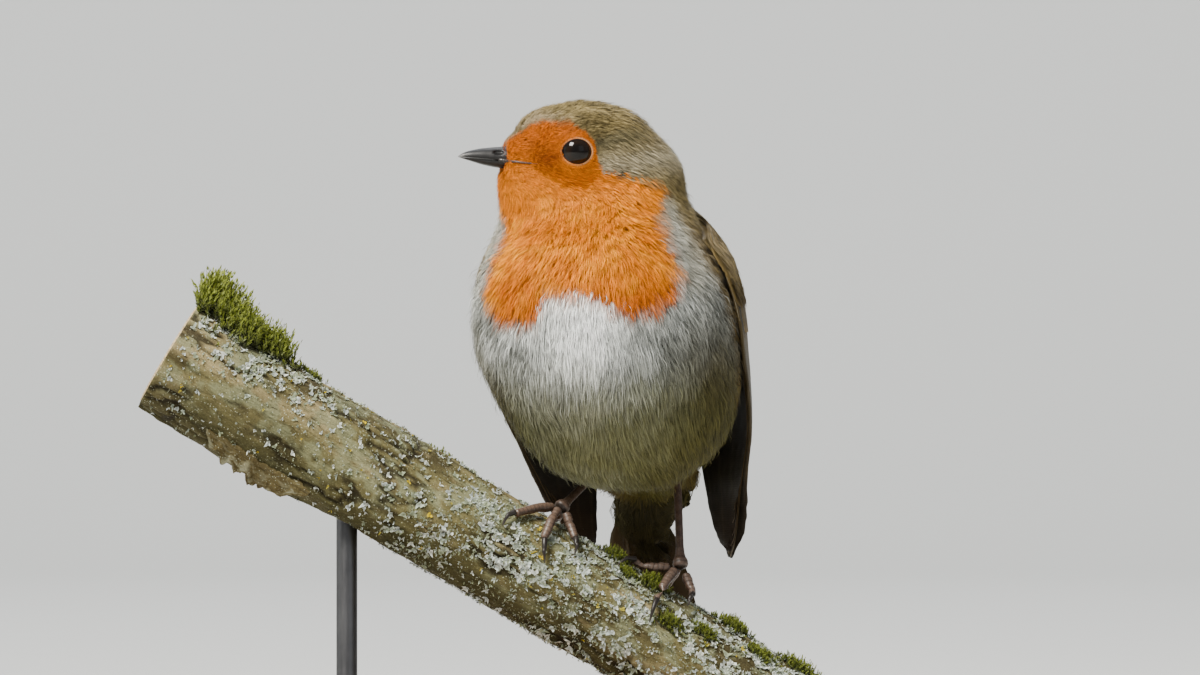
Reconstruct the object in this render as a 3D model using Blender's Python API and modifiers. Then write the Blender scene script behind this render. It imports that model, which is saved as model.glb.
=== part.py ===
"""European robin (Erithacus rubecula), life size, gripping a cut length of branch on a stand.

World frame: +Z up, origin under the middle of the stand's base, the viewer on the -Y side.
The bird's own frame (across to its left, back, up) is turned by BODY_YAW about the vertical.
"""
import math

import bmesh
import bpy
import numpy as np
from mathutils import Matrix, Vector

MM = 0.001                      # every size below is in millimetres
GAP = 0.32                      # clearance between touching pieces

# the bird's stance
BODY_YAW = math.radians(15.0)   # the breast faces this far to the bird's right of the viewer
HEAD_YAW = math.radians(10.0)   # the bill points to the viewer's left, this far forward of it
HEAD_CENTRE = Vector((-4.0, -3.5, 143.2))

# trunk sections: height, middle across, half width, depth of breast, depth of back
TRUNK = (
    (141.5, -0.5, 6.0, 5.0, 6.0),
    (139.0, -0.2, 11.6, 10.0, 10.0),
    (135.5, -0.2, 15.0, 14.0, 13.5),
    (131.0, -0.9, 18.6, 18.2, 16.8),
    (126.0, -1.3, 22.0, 22.4, 19.4),
    (119.5, -1.0, 24.9, 25.8, 21.8),
    (112.5, -0.6, 26.0, 27.2, 23.2),
    (105.0, -0.1, 25.4, 26.8, 24.2),
    (98.0, 1.2, 23.4, 24.6, 24.8),
    (92.0, 2.2, 21.0, 20.6, 24.8),
    (87.0, 2.3, 17.6, 15.8, 23.2),
    (83.0, 2.0, 12.8, 10.0, 19.6),
    (80.0, 3.4, 7.0, 4.6, 14.6),
    (78.6, 4.0, 2.2, 1.5, 11.0),
)
# soft masses added to the trunk: across, back, up, then radii the same way, pitch in degrees
VENT = (2.6, 14.6, 77.5, 7.2, 5.4, 12.5, 28.0)
RUMP = (3.0, 19.5, 84.5, 10.0, 6.0, 13.0, 30.0)
# masses of the head in its own frame: forward, to its left, up, then radii the same way
CRANIUM = (-1.4, 0.0, 0.0, 13.0, 10.5, 10.9)
FACE = (5.2, 0.0, 0.5, 10.6, 7.4, 9.2)
THROAT = (4.6, 0.0, -8.4, 12.2, 9.6, 9.6)
NAPE = (-8.6, 0.0, -5.2, 10.4, 9.8, 10.4)

HEAD_CUT = (136.4, 4.0)         # height of the cut under the head, and its slope in degrees
NECK_CUT = (128.8, 3.0)         # the same between neck and trunk

# the bird's axis where the wings and tail lie: height and X
BODY_AXIS = ((66.0, 2.2), (90.0, 2.0), (105.0, -0.1), (130.0, -1.2))
# wing stations from bend to tip: front edge (angle, radius, height), rear edge, thickness
WING_AXIS_BACK = 2.0
WING = (
    ((-14.0, 20.6, 127.5), (20.0, 17.2, 131.5), 1.6),
    ((-10.0, 24.2, 121.5), (48.0, 19.2, 128.5), 2.2),
    ((-3.0, 25.6, 112.0), (70.0, 21.4, 119.0), 2.4),
    ((4.0, 25.4, 101.5), (79.0, 23.6, 107.5), 2.4),
    ((14.0, 24.5, 91.5), (77.0, 24.4, 97.0), 2.2),
    ((30.0, 23.9, 82.5), (64.0, 22.6, 86.5), 1.8),
    ((45.0, 26.4, 75.6), (60.0, 23.8, 78.0), 1.4),
    ((55.5, 28.8, 69.6), (61.5, 27.0, 71.0), 1.1),
    ((61.0, 30.2, 66.4), (62.4, 29.8, 66.8), 0.8),
)

TAIL_ROOT = (0.6, 19.4, 77.5)   # across, back, up
TAIL_TIP = (0.6, 40.5, 42.5)
TAIL_HALF_WIDTHS = (6.2, 7.6, 8.6, 9.4)
TAIL_THICKNESSES = (3.4, 2.6, 1.8, 1.1)
TAIL_SIDE_ROOM = 2.5            # the coverts part this far to each side of the tail

# the perch: a cut length of branch sloping down to the right
PERCH_MIDDLE = Vector((-1.9, 0.0, 57.1))
PERCH_SLOPE = math.radians(30.5)
PERCH_RADIUS = 10.3
PERCH_ENDS = (-95.0, 53.0)      # along the branch from PERCH_MIDDLE
PERCH_SIDES = 14

# feet: where the toes part (along the branch, turn to the front, height over the bark)
KNUCKLE_RIGHT = (-16.2, 2.0, 3.1)
KNUCKLE_LEFT = (8.6, 4.0, 5.2)
ANKLE_RIGHT = Vector((1.2, 16.5, 87.0))
ANKLE_LEFT = Vector((12.6, 8.0, 89.0))
# each toe: points after the knuckle (along, degrees to the front, height), last one the nail's root
TOES_RIGHT = {
    "outer": ((-20.0, 21.0, 1.5), (-22.9, 43.0, 1.0)),
    "middle": ((-16.7, 35.0, 1.8), (-16.2, 52.0, 1.1)),
    "inner": ((-13.6, 17.0, 1.8), (-11.4, 30.0, 1.0)),
    "hind": ((-15.9, -24.0, 1.8), (-15.6, -46.0, 1.1)),
}
NAILS_RIGHT = {
    "outer": ((-24.0, 52.0, 1.2), (-24.2, 63.0, 0.45)),
    "middle": ((-15.2, 64.0, 1.2), (-13.8, 75.0, 0.45)),
    "inner": ((-10.2, 40.0, 1.2), (-9.6, 50.0, 0.45)),
    "hind": ((-15.4, -62.0, 1.7), (-15.4, -78.0, 0.45)),
}
TOES_LEFT = {
    "inner": ((4.9, 9.0, 2.2), (1.3, 10.0, 1.4)),
    "middle": ((7.9, 27.0, 2.1), (7.9, 46.0, 1.1)),
    "outer": ((12.0, 12.0, 3.0), (13.2, 21.0, 2.3)),
    "hind": ((8.6, -22.0, 2.6), (8.4, -45.0, 1.3)),
}
NAILS_LEFT = {
    "inner": ((-0.3, 18.0, 1.6), (-1.5, 28.0, 0.5)),
    "middle": ((8.5, 60.0, 1.2), (9.0, 73.0, 0.45)),
    "outer": ((13.6, 28.0, 2.4), (13.7, 37.0, 1.6)),
    "hind": ((8.3, -62.0, 1.8), (8.3, -78.0, 0.45)),
}
TOE_RADII = (0.95, 0.85, 0.72)
TOE_ROOM = 3.0                  # the toes start this far from the knuckle's middle
NAIL_RADII = (0.6, 0.42, 0.27)
TARSUS_RADII = (1.55, 0.74, 0.72, 1.0)

EYE_RADIUS = 3.1
EYE_PLACE = (4.0, 8.0, 0.9)     # forward, out to each side, up, from HEAD_CENTRE
BILL_ROOT = 13.4                # forward of HEAD_CENTRE, inside the feathers
BILL_TIP = 24.5
BILL_LINE = -0.75               # height of the closed gape over HEAD_CENTRE

BASE_SIZE = (132.0, 92.0, 12.0)
ROD_RADIUS = 2.0
ROD_PLACES = (-50.0, 27.0)      # X of the two rods
ROD_IN_BASE = 6.0
ROD_IN_PERCH = 5.0

COLOURS = {                     # base colour, roughness, metallic
    "orange": ((0.78, 0.24, 0.03), 0.85, 0.0),
    "olive": ((0.20, 0.15, 0.08), 0.85, 0.0),
    "white": ((0.62, 0.62, 0.58), 0.85, 0.0),
    "flight": ((0.09, 0.07, 0.045), 0.7, 0.0),
    "leg": ((0.13, 0.05, 0.04), 0.5, 0.0),
    "horn": ((0.03, 0.03, 0.035), 0.3, 0.0),
    "eye": ((0.006, 0.005, 0.005), 0.06, 0.0),
    "bark": ((0.22, 0.17, 0.09), 0.9, 0.0),
    "steel": ((0.12, 0.12, 0.13), 0.35, 1.0),
    "oak": ((0.16, 0.08, 0.035), 0.45, 0.0),
}


# ---------------------------------------------------------------- scene and mesh helpers
def clear_scene():
    for obj in list(bpy.data.objects):
        bpy.data.objects.remove(obj, do_unlink=True)


def new_collection(name):
    collection = bpy.data.collections.new(name)
    bpy.context.scene.collection.children.link(collection)
    return collection


def new_material(name):
    colour, roughness, metallic = COLOURS[name]
    mat = bpy.data.materials.new(name)
    mat.use_nodes = True
    shader = mat.node_tree.nodes["Principled BSDF"]
    shader.inputs["Base Color"].default_value = (*colour, 1.0)
    shader.inputs["Roughness"].default_value = roughness
    shader.inputs["Metallic"].default_value = metallic
    return mat


def add_object(name, bm, collection, finish):
    """Close a bmesh given in millimetres into an object in metres."""
    bmesh.ops.recalc_face_normals(bm, faces=bm.faces)
    bmesh.ops.scale(bm, vec=(MM, MM, MM), verts=bm.verts)
    mesh = bpy.data.meshes.new(name)
    bm.to_mesh(mesh)
    bm.free()
    mesh.shade_smooth()
    mesh.set_sharp_from_angle(angle=math.radians(35))
    mesh.materials.append(new_material(finish))
    obj = bpy.data.objects.new(name, mesh)
    collection.objects.link(obj)
    return obj


def hide_cutter(obj):
    obj.hide_render = True
    obj.display_type = "WIRE"
    return obj


def cut(obj, cutter):
    """Take a hidden cutter out of an object."""
    mod = obj.modifiers.new(cutter.name, "BOOLEAN")
    mod.operation = "DIFFERENCE"
    mod.object = cutter


def loft(rings):
    """Skin a list of equal closed rings and cap both ends."""
    bm = bmesh.new()
    rows = [[bm.verts.new(point) for point in ring] for ring in rings]
    count = len(rows[0])
    for low, high in zip(rows, rows[1:]):
        for i in range(count):
            j = (i + 1) % count
            bm.faces.new((low[i], low[j], high[j], high[i]))
    bm.faces.new(rows[0])
    bm.faces.new(rows[-1])
    return bm


def through(stations, count):
    """Evenly spaced points on a smooth curve through the stations (Catmull-Rom)."""
    rows = np.asarray(stations, float)
    padded = np.vstack((2 * rows[0] - rows[1], rows, 2 * rows[-1] - rows[-2]))
    points = []
    for step in np.linspace(0.0, len(rows) - 1.0, count):
        i = min(int(step), len(rows) - 2)
        t = step - i
        a, b, c, d = padded[i:i + 4]
        points.append(0.5 * (2 * b + (c - a) * t + (2 * a - 5 * b + 4 * c - d) * t ** 2
                             + (3 * b - a - 3 * c + d) * t ** 3))
    return points


def tube(path, widths, sides=8):
    """Rings of a round tube along a path, one radius to a point."""
    rings = []
    side = None
    for i, centre in enumerate(path):
        ahead = Vector(path[min(i + 1, len(path) - 1)]) - Vector(path[max(i - 1, 0)])
        ahead.normalize()
        seed = side if side else ahead.orthogonal()
        side = (seed - ahead * seed.dot(ahead)).normalized()
        other = ahead.cross(side)
        ring = []
        for k in range(sides):
            turn = 2 * math.pi * k / sides
            spoke = side * math.cos(turn) + other * math.sin(turn)
            ring.append(Vector(centre) + spoke * float(widths[i]))
        rings.append(ring)
    return rings


def ellipsoid(bm, centre, radii, rotation, segments=32):
    shape = Matrix.Diagonal((*radii, 1.0))
    place = Matrix.Translation(centre) @ rotation.to_4x4() @ shape
    bmesh.ops.create_uvsphere(bm, u_segments=segments, v_segments=segments // 2,
                              radius=1.0, matrix=place)


# ---------------------------------------------------------------- the frames of body and head
def axis_x(height):
    """X of the bird's leaning axis at a height."""
    return float(np.interp(height, *zip(*BODY_AXIS)))


def body_point(middle, across, back, height):
    """World point from the bird's own frame, across to its left and back from the axis."""
    x = middle + across * math.cos(BODY_YAW) + back * math.sin(BODY_YAW)
    y = -across * math.sin(BODY_YAW) + back * math.cos(BODY_YAW)
    return Vector((x, y, height))


def head_rotation():
    """Columns: forward along the bill, to the head's left, up."""
    forward = Vector((-math.cos(HEAD_YAW), -math.sin(HEAD_YAW), 0.0))
    up = Vector((0.0, 0.0, 1.0))
    return Matrix((forward, up.cross(forward), up)).transposed()


def head_point(forward, left, up):
    return HEAD_CENTRE + head_rotation() @ Vector((forward, left, up))


# ---------------------------------------------------------------- flesh: one form, then parted
def trunk_rings(sides=36, count=34):
    rings = []
    for height, middle, half, front, back in through(TRUNK, count):
        ring = []
        for i in range(sides):
            turn = 2 * math.pi * i / sides
            depth = back if math.sin(turn) > 0 else front
            ring.append(body_point(middle, half * math.cos(turn), depth * math.sin(turn), height))
        rings.append(ring)
    return rings


def add_body_mass(bm, mass):
    across, back, up, *radii, pitch = mass
    yaw = Matrix.Rotation(-BODY_YAW, 3, "Z")
    tilt = Matrix.Rotation(math.radians(pitch), 3, "X")
    ellipsoid(bm, body_point(0.0, across, back, up), radii, yaw @ tilt)


def add_head_mass(bm, mass):
    forward, left, up, *radii = mass
    ellipsoid(bm, head_point(forward, left, up), radii, head_rotation())


def flesh_form(guides):
    """The whole body of the bird in one closed skin, a hidden guide for its parts."""
    bm = loft(trunk_rings())
    bmesh.ops.recalc_face_normals(bm, faces=bm.faces)
    for mass in (VENT, RUMP):
        add_body_mass(bm, mass)
    for mass in (CRANIUM, FACE, THROAT, NAPE):
        add_head_mass(bm, mass)
    form = hide_cutter(add_object("flesh_form", bm, guides, "white"))
    remesh = form.modifiers.new("union", "REMESH")
    remesh.mode = "VOXEL"
    remesh.voxel_size = 1.0 * MM
    smooth = form.modifiers.new("blend", "SMOOTH")
    smooth.factor = 0.5
    smooth.iterations = 14
    thin = form.modifiers.new("thin", "DECIMATE")
    thin.ratio = 0.059
    return form


def evaluated_bmesh(obj):
    bpy.context.view_layer.update()
    graph = bpy.context.evaluated_depsgraph_get()
    mesh = bpy.data.meshes.new_from_object(obj.evaluated_get(graph))
    bm = bmesh.new()
    bm.from_mesh(mesh)
    bpy.data.meshes.remove(mesh)
    bmesh.ops.scale(bm, vec=(1 / MM, 1 / MM, 1 / MM), verts=bm.verts)
    return bm


def keep_side(bm, height, slope, keep_above):
    """Cut a closed form with a sloping plane and cap it."""
    sign = 1.0 if keep_above else -1.0
    normal = Vector((math.sin(math.radians(slope)), 0.0, math.cos(math.radians(slope))))
    point = Vector((0.0, 0.0, height + sign * GAP / 2))
    cut_geom = bmesh.ops.bisect_plane(
        bm, geom=bm.verts[:] + bm.edges[:] + bm.faces[:], dist=0.0001, plane_co=point,
        plane_no=normal, clear_inner=keep_above, clear_outer=not keep_above)
    edges = [item for item in cut_geom["geom_cut"] if isinstance(item, bmesh.types.BMEdge)]
    bmesh.ops.holes_fill(bm, edges=edges, sides=0)


def part_flesh(form, parts):
    """Head, neck and trunk from the one form."""
    head = evaluated_bmesh(form)
    keep_side(head, *HEAD_CUT, True)
    neck = evaluated_bmesh(form)
    keep_side(neck, *HEAD_CUT, False)
    keep_side(neck, *NECK_CUT, True)
    trunk = evaluated_bmesh(form)
    keep_side(trunk, *NECK_CUT, False)
    return (add_object("head", head, parts, "orange"), add_object("neck", neck, parts, "orange"),
            add_object("trunk", trunk, parts, "white"))


# ---------------------------------------------------------------- wings and tail
def wing_rings(side, inner, outer, edge, across=9, count=16):
    """Rings round the folded wing; inner and outer are added to half its thickness."""
    rings = []
    stations = [(*front, *rear, thick) for front, rear, thick in WING]
    for front_turn, front_r, front_z, rear_turn, rear_r, rear_z, thick in through(stations, count):
        inside, outside = [], []
        for u in np.linspace(-edge, 1.0 + edge, across):
            turn = math.radians(front_turn + (rear_turn - front_turn) * u)
            radius = front_r + (rear_r - front_r) * u
            height = front_z + (rear_z - front_z) * u
            slim = thick * (0.35 + 0.65 * math.sin(math.pi * min(max(u, 0.0), 1.0)) ** 0.6) / 2
            for row, offset in ((inside, -slim - inner), (outside, slim + outer)):
                lateral = side * (radius + offset) * math.cos(turn)
                back = WING_AXIS_BACK + (radius + offset) * math.sin(turn)
                row.append(body_point(axis_x(height), lateral, back, height))
        rings.append(inside + outside[::-1])
    return rings


def build_wing(name, side, flesh, parts, guides):
    add_object(name, loft(wing_rings(side, 0.0, 0.0, 0.0)), parts, "flight")
    recess = wing_rings(side, GAP, 9.0, 0.05)
    first = [point + (point - other) * 0.3 for point, other in zip(recess[0], recess[1])]
    cutter = hide_cutter(add_object(name + "_recess", loft([first] + recess), guides, "flight"))
    for piece in flesh:
        cut(piece, cutter)


def tail_rings(grow, side_room=0.0, count=10):
    root = body_point(0.0, *TAIL_ROOT)
    tip = body_point(0.0, *TAIL_TIP)
    along = (tip - root).normalized()
    wide = body_point(0.0, 1.0, 0.0, 0.0) - body_point(0.0, 0.0, 0.0, 0.0)
    deep = along.cross(wide)
    sizes = through(list(zip(TAIL_HALF_WIDTHS, TAIL_THICKNESSES)), count)
    rings = []
    for i, (half, thick) in enumerate(sizes):
        share = i / (count - 1)
        centre = root.lerp(tip, share) + along * (grow * (2 * share - 1))
        ring = []
        for k in range(12):
            turn = 2 * math.pi * k / 12
            offset = wide * (half + grow + side_room) * math.cos(turn)
            ring.append(centre + offset + deep * (thick / 2 + grow) * math.sin(turn))
        rings.append(ring)
    return rings


def build_tail(trunk, parts, guides):
    add_object("tail", loft(tail_rings(0.0)), parts, "flight")
    socket = add_object("tail_socket", loft(tail_rings(GAP, TAIL_SIDE_ROOM)), guides, "flight")
    cut(trunk, hide_cutter(socket))


# ---------------------------------------------------------------- the head's own pieces
def build_eye(name, side, head, parts, guides):
    forward, out, up = EYE_PLACE
    for suffix, radius, where in (("", EYE_RADIUS, parts), ("_socket", EYE_RADIUS + GAP, guides)):
        bm = bmesh.new()
        ellipsoid(bm, head_point(forward, side * out, up), (radius,) * 3, head_rotation(), 16)
        obj = add_object(name + suffix, bm, where, "eye")
    cut(head, hide_cutter(obj))


def bill_rings(upper, grow=0.0, count=9):
    """Half of the closed bill: a flat cutting side on the gape line and a round outer side."""
    sign = 1.0 if upper else -1.0
    heights = (2.6, 2.4, 2.05, 1.4, 0.25) if upper else (1.5, 1.4, 1.05, 0.65, 0.2)
    widths = (2.5, 2.1, 1.45, 0.85, 0.2) if upper else (2.3, 1.9, 1.2, 0.65, 0.18)
    tip = BILL_TIP if upper else BILL_TIP - 0.7
    rings = []
    for i, (high, half) in enumerate(through(list(zip(heights, widths)), count)):
        share = i / (count - 1)
        forward = BILL_ROOT + (tip - BILL_ROOT) * share + grow * (2 * share - 1)
        line = BILL_LINE - 0.5 * share ** 3
        ring = []
        for k in range(9):
            turn = math.pi * k / 8
            up = sign * (GAP / 2 - grow + (high + 2 * grow) * math.sin(turn) ** 0.8)
            ring.append(head_point(forward, (half + grow) * math.cos(turn), line + up))
        rings.append(ring)
    return rings


def build_bill(head, parts, guides):
    for name, upper in (("bill_upper", True), ("bill_lower", False)):
        add_object(name, loft(bill_rings(upper)), parts, "horn")
        socket = add_object(name + "_socket", loft(bill_rings(upper, GAP)), guides, "horn")
        cut(head, hide_cutter(socket))


# ---------------------------------------------------------------- perch, legs and feet
def perch_direction():
    return Vector((math.cos(PERCH_SLOPE), 0.0, -math.sin(PERCH_SLOPE)))


def on_perch(along, front_degrees, height):
    """World point over the bark: along the branch, turned to the front, height over it."""
    upward = Vector((math.sin(PERCH_SLOPE), 0.0, math.cos(PERCH_SLOPE)))
    turn = math.radians(front_degrees)
    out = upward * math.cos(turn) + Vector((0.0, -math.sin(turn), 0.0))
    return PERCH_MIDDLE + perch_direction() * along + out * (PERCH_RADIUS + height)


def perch_radius(along, turn):
    """Plain under the feet, thicker and knotted toward the upper end."""
    away = max(0.0, -28.0 - along) + max(0.0, along - 20.0)
    knots = 0.5 * math.sin(3 * turn + along / 9.0) + 0.35 * math.sin(2 * turn - along / 14.0)
    swell = 1.5 * min(max(0.0, -28.0 - along) / 50.0, 1.0)
    return PERCH_RADIUS + swell + knots * min(away / 15.0, 1.0)


def build_perch(parts):
    rings = []
    low, high = PERCH_ENDS
    for along in np.linspace(low, high, 25):
        ring = []
        for k in range(PERCH_SIDES):
            turn = 2 * math.pi * k / PERCH_SIDES
            height = perch_radius(along, turn) - PERCH_RADIUS
            ring.append(on_perch(along, math.degrees(turn), height))
        rings.append(ring)
    return add_object("perch", loft(rings), parts, "bark")


def blunt(path, radii):
    """Add a small ring past each end of a tube, so that its ends are rounded."""
    first, last = Vector(path[0]), Vector(path[-1])
    start = first + (first - Vector(path[1])).normalized() * float(radii[0]) * 0.5
    end = last + (last - Vector(path[-2])).normalized() * float(radii[-1]) * 0.5
    return [start, *path, end], (radii[0] * 0.55, *radii, radii[-1] * 0.55)


def build_limb(name, points, radii, parts, finish, count=8, sides=7):
    path = [Vector(point) for point in through([tuple(point) for point in points], count)]
    widths = np.interp(np.linspace(0, 1, count), np.linspace(0, 1, len(radii)), radii)
    path, widths = blunt(path, tuple(widths))
    return add_object(name, loft(tube(path, widths, sides)), parts, finish)


def shorten(start, end, trim):
    """The start of a stretch moved toward its end."""
    return Vector(start) + (Vector(end) - Vector(start)).normalized() * trim


def build_foot(side_name, knuckle, toes, nails, parts):
    centre = on_perch(*knuckle)
    for toe, stations in toes.items():
        points = [on_perch(*station) for station in stations]
        root = shorten(centre, points[0], TOE_ROOM)
        build_limb(f"toe_{toe}_{side_name}", [root, *points], TOE_RADII, parts, "leg", 7)
        nail = [on_perch(*station) for station in nails[toe]]
        base = shorten(points[-1], nail[0], (TOE_RADII[-1] + NAIL_RADII[0]) / 2 + 1.3 * GAP)
        build_limb(f"claw_{toe}_{side_name}", [base, *nail], NAIL_RADII, parts, "horn", 6, 6)


def build_leg(side_name, knuckle, ankle, trunk, parts, guides):
    """Bare tarsus with the knuckle below, and the feathered shank round its top."""
    foot = on_perch(*knuckle)
    share = (ankle - foot).normalized()
    points = [foot, foot + share * 3.0, foot.lerp(ankle, 0.5), foot.lerp(ankle, 0.8)]
    tarsus = build_limb("tarsus_" + side_name, points, TARSUS_RADII, parts, "leg", 9)
    centre = foot.lerp(ankle, 0.98)
    turn = share.to_track_quat("Z", "Y").to_matrix()
    for suffix, grow, where in (("", 0.0, parts), ("_socket", GAP, guides)):
        bm = bmesh.new()
        ellipsoid(bm, centre, (4.2 + grow, 4.6 + grow, 7.0 + grow), turn, 16)
        obj = add_object("thigh_" + side_name + suffix, bm, where, "olive")
        if not suffix:
            thigh = obj
    cut(trunk, hide_cutter(obj))
    sleeve = build_limb("tarsus_sleeve_" + side_name, points,
                        tuple(radius + GAP for radius in TARSUS_RADII), guides, "leg", 9)
    cut(thigh, hide_cutter(sleeve))
    cut(trunk, sleeve)
    return tarsus


# ---------------------------------------------------------------- the display stand
def cylinder(name, radius, low, high, x, collection, finish, sides=16):
    bm = bmesh.new()
    place = Matrix.Translation((x, 0.0, (low + high) / 2))
    bmesh.ops.create_cone(bm, cap_ends=True, segments=sides, radius1=radius, radius2=radius,
                          depth=high - low, matrix=place)
    return add_object(name, bm, collection, finish)


def build_stand(perch, parts, guides):
    bm = bmesh.new()
    lift = Matrix.Translation((0.0, 0.0, BASE_SIZE[2] / 2))
    bmesh.ops.create_cube(bm, size=1.0, matrix=lift @ Matrix.Diagonal((*BASE_SIZE, 1.0)))
    base = add_object("stand_base", bm, parts, "oak")
    bevel = base.modifiers.new("edges", "BEVEL")
    bevel.width = 2.0 * MM
    bevel.segments = 2
    bevel.limit_method = "ANGLE"
    for number, x in enumerate(ROD_PLACES, start=1):
        drop = (x - PERCH_MIDDLE.x) * math.tan(PERCH_SLOPE)
        underside = PERCH_MIDDLE.z - drop - PERCH_RADIUS / math.cos(PERCH_SLOPE)
        low = BASE_SIZE[2] - ROD_IN_BASE
        high = underside + ROD_IN_PERCH
        cylinder(f"stand_rod_{number}", ROD_RADIUS, low, high, x, parts, "steel")
        hole = cylinder(f"rod_hole_{number}", ROD_RADIUS + GAP, low - GAP, high + GAP, x,
                        guides, "steel")
        hide_cutter(hole)
        cut(base, hole)
        cut(perch, hole)


def main():
    clear_scene()
    parts = new_collection("robin")
    guides = new_collection("robin_cutters")
    head, neck, trunk = part_flesh(flesh_form(guides), parts)
    build_wing("wing_left", 1.0, (neck, trunk), parts, guides)
    build_wing("wing_right", -1.0, (neck, trunk), parts, guides)
    build_tail(trunk, parts, guides)
    build_eye("eye_left", 1.0, head, parts, guides)
    build_eye("eye_right", -1.0, head, parts, guides)
    build_bill(head, parts, guides)
    perch = build_perch(parts)
    build_foot("right", KNUCKLE_RIGHT, TOES_RIGHT, NAILS_RIGHT, parts)
    build_foot("left", KNUCKLE_LEFT, TOES_LEFT, NAILS_LEFT, parts)
    build_leg("right", KNUCKLE_RIGHT, ANKLE_RIGHT, trunk, parts, guides)
    build_leg("left", KNUCKLE_LEFT, ANKLE_LEFT, trunk, parts, guides)
    build_stand(perch, parts, guides)


if __name__ == "__main__":
    main()
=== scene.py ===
"""A still, life-size robin on a cut branch: plumage, hard parts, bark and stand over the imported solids."""
import logging
import math
from collections.abc import Sequence
from dataclasses import dataclass, field
from enum import Enum

import bmesh
import bpy
import numpy as np
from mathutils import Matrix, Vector
from mathutils.bvhtree import BVHTree


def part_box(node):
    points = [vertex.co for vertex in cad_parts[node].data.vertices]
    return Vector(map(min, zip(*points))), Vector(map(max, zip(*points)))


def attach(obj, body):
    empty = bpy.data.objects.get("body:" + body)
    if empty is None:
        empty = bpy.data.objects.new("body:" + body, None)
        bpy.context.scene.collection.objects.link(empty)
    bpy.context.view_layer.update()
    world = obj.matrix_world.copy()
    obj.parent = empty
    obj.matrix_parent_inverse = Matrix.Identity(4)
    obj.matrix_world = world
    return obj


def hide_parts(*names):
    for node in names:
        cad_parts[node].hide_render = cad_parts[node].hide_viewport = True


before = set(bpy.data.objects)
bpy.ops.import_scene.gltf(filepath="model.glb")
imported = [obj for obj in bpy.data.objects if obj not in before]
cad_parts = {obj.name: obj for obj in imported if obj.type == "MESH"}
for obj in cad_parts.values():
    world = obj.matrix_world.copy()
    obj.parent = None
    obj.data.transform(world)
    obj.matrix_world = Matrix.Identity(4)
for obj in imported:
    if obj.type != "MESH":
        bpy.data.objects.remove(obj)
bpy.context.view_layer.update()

log = logging.getLogger("robin")
MM = 0.001
BODY_TURN = math.radians(15)        # the trunk faces this far to its right of the viewer
UP = np.array((0.0, 0.0, 1.0))
BACKWARD = np.array((math.sin(BODY_TURN), math.cos(BODY_TURN), 0.0))
LEFTWARD = np.array((math.cos(BODY_TURN), -math.sin(BODY_TURN), 0.0))
SIDES = (("left", 1.0), ("right", -1.0))
Array = np.ndarray
Material, Mesh, Object = bpy.types.Material, bpy.types.Mesh, bpy.types.Object


# ---------------------------------------------------------------- numbers over space
def ramp(low: float, high: float, value: Array) -> Array:
    """A smooth step from 0 at low to 1 at high."""
    share = np.clip((value - low) / (high - low), 0.0, 1.0)
    return share * share * (3.0 - 2.0 * share)


def bell(value: Array, centre: float, width: float, power: int = 2) -> Array:
    """A soft bump: 1 at the centre, falling away over the width."""
    return np.exp(-((value - centre) / width) ** power)


def turns(count: int) -> Array:
    """Angles evenly round a circle."""
    return np.linspace(0.0, 2 * math.pi, count, endpoint=False)


def distances(line: Array) -> Array:
    """How far along a line each of its places lies."""
    return np.concatenate([[0.0], np.cumsum(np.linalg.norm(np.diff(line, axis=0), axis=1))])


def unit(vectors: Array) -> Array:
    """The vectors at length 1."""
    return vectors / np.maximum(np.linalg.norm(vectors, axis=-1, keepdims=True), 1e-12)


def blend(first: Array | Sequence[float], second: Array | Sequence[float], share: Array) -> Array:
    """Mixes two colours or vectors, or rows of them, by a share per row."""
    first = np.asarray(first, float)
    return first + (np.asarray(second, float) - first) * np.asarray(share)[..., None]


def layered(ground: Array | Sequence[float], *coats: tuple[Sequence[float] | Array, Array]) -> Array:
    """Lays coats of colour over a ground; each coat is a tint and its share per row.

    Args:
        ground: the first colour, or a row of them.
        coats: for each coat, its tint and its share.

    Returns:
        The colours, one row each.
    """
    for tint, share in coats:
        ground = blend(ground, tint, share)
    return ground


def even_out(line: Array, rounds: int) -> Array:
    """Evens out a row of places or values between its two ends, in place.

    Args:
        line: places or values in order.
        rounds: how many times each takes its neighbours' mean.

    Returns:
        The same row, evened.
    """
    for _ in range(rounds):
        line[1:-1] = (line[:-2] + 2 * line[1:-1] + line[2:]) / 4
    return line


def grid_faces(rows: int, columns: int, ring: bool = True) -> Array:
    """Four-cornered faces over rows of points.

    Args:
        rows: how many rows.
        columns: points in each row.
        ring: whether each row closes on itself.

    Returns:
        Vertex numbers, one face each.
    """
    number = np.arange(rows * columns).reshape(rows, columns)
    beside = np.roll(number, -1, axis=1)
    quads = np.stack([number[:-1], number[1:], beside[1:], beside[:-1]], -1)
    return quads[:, :columns if ring else -1].reshape(-1, 4)


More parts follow.
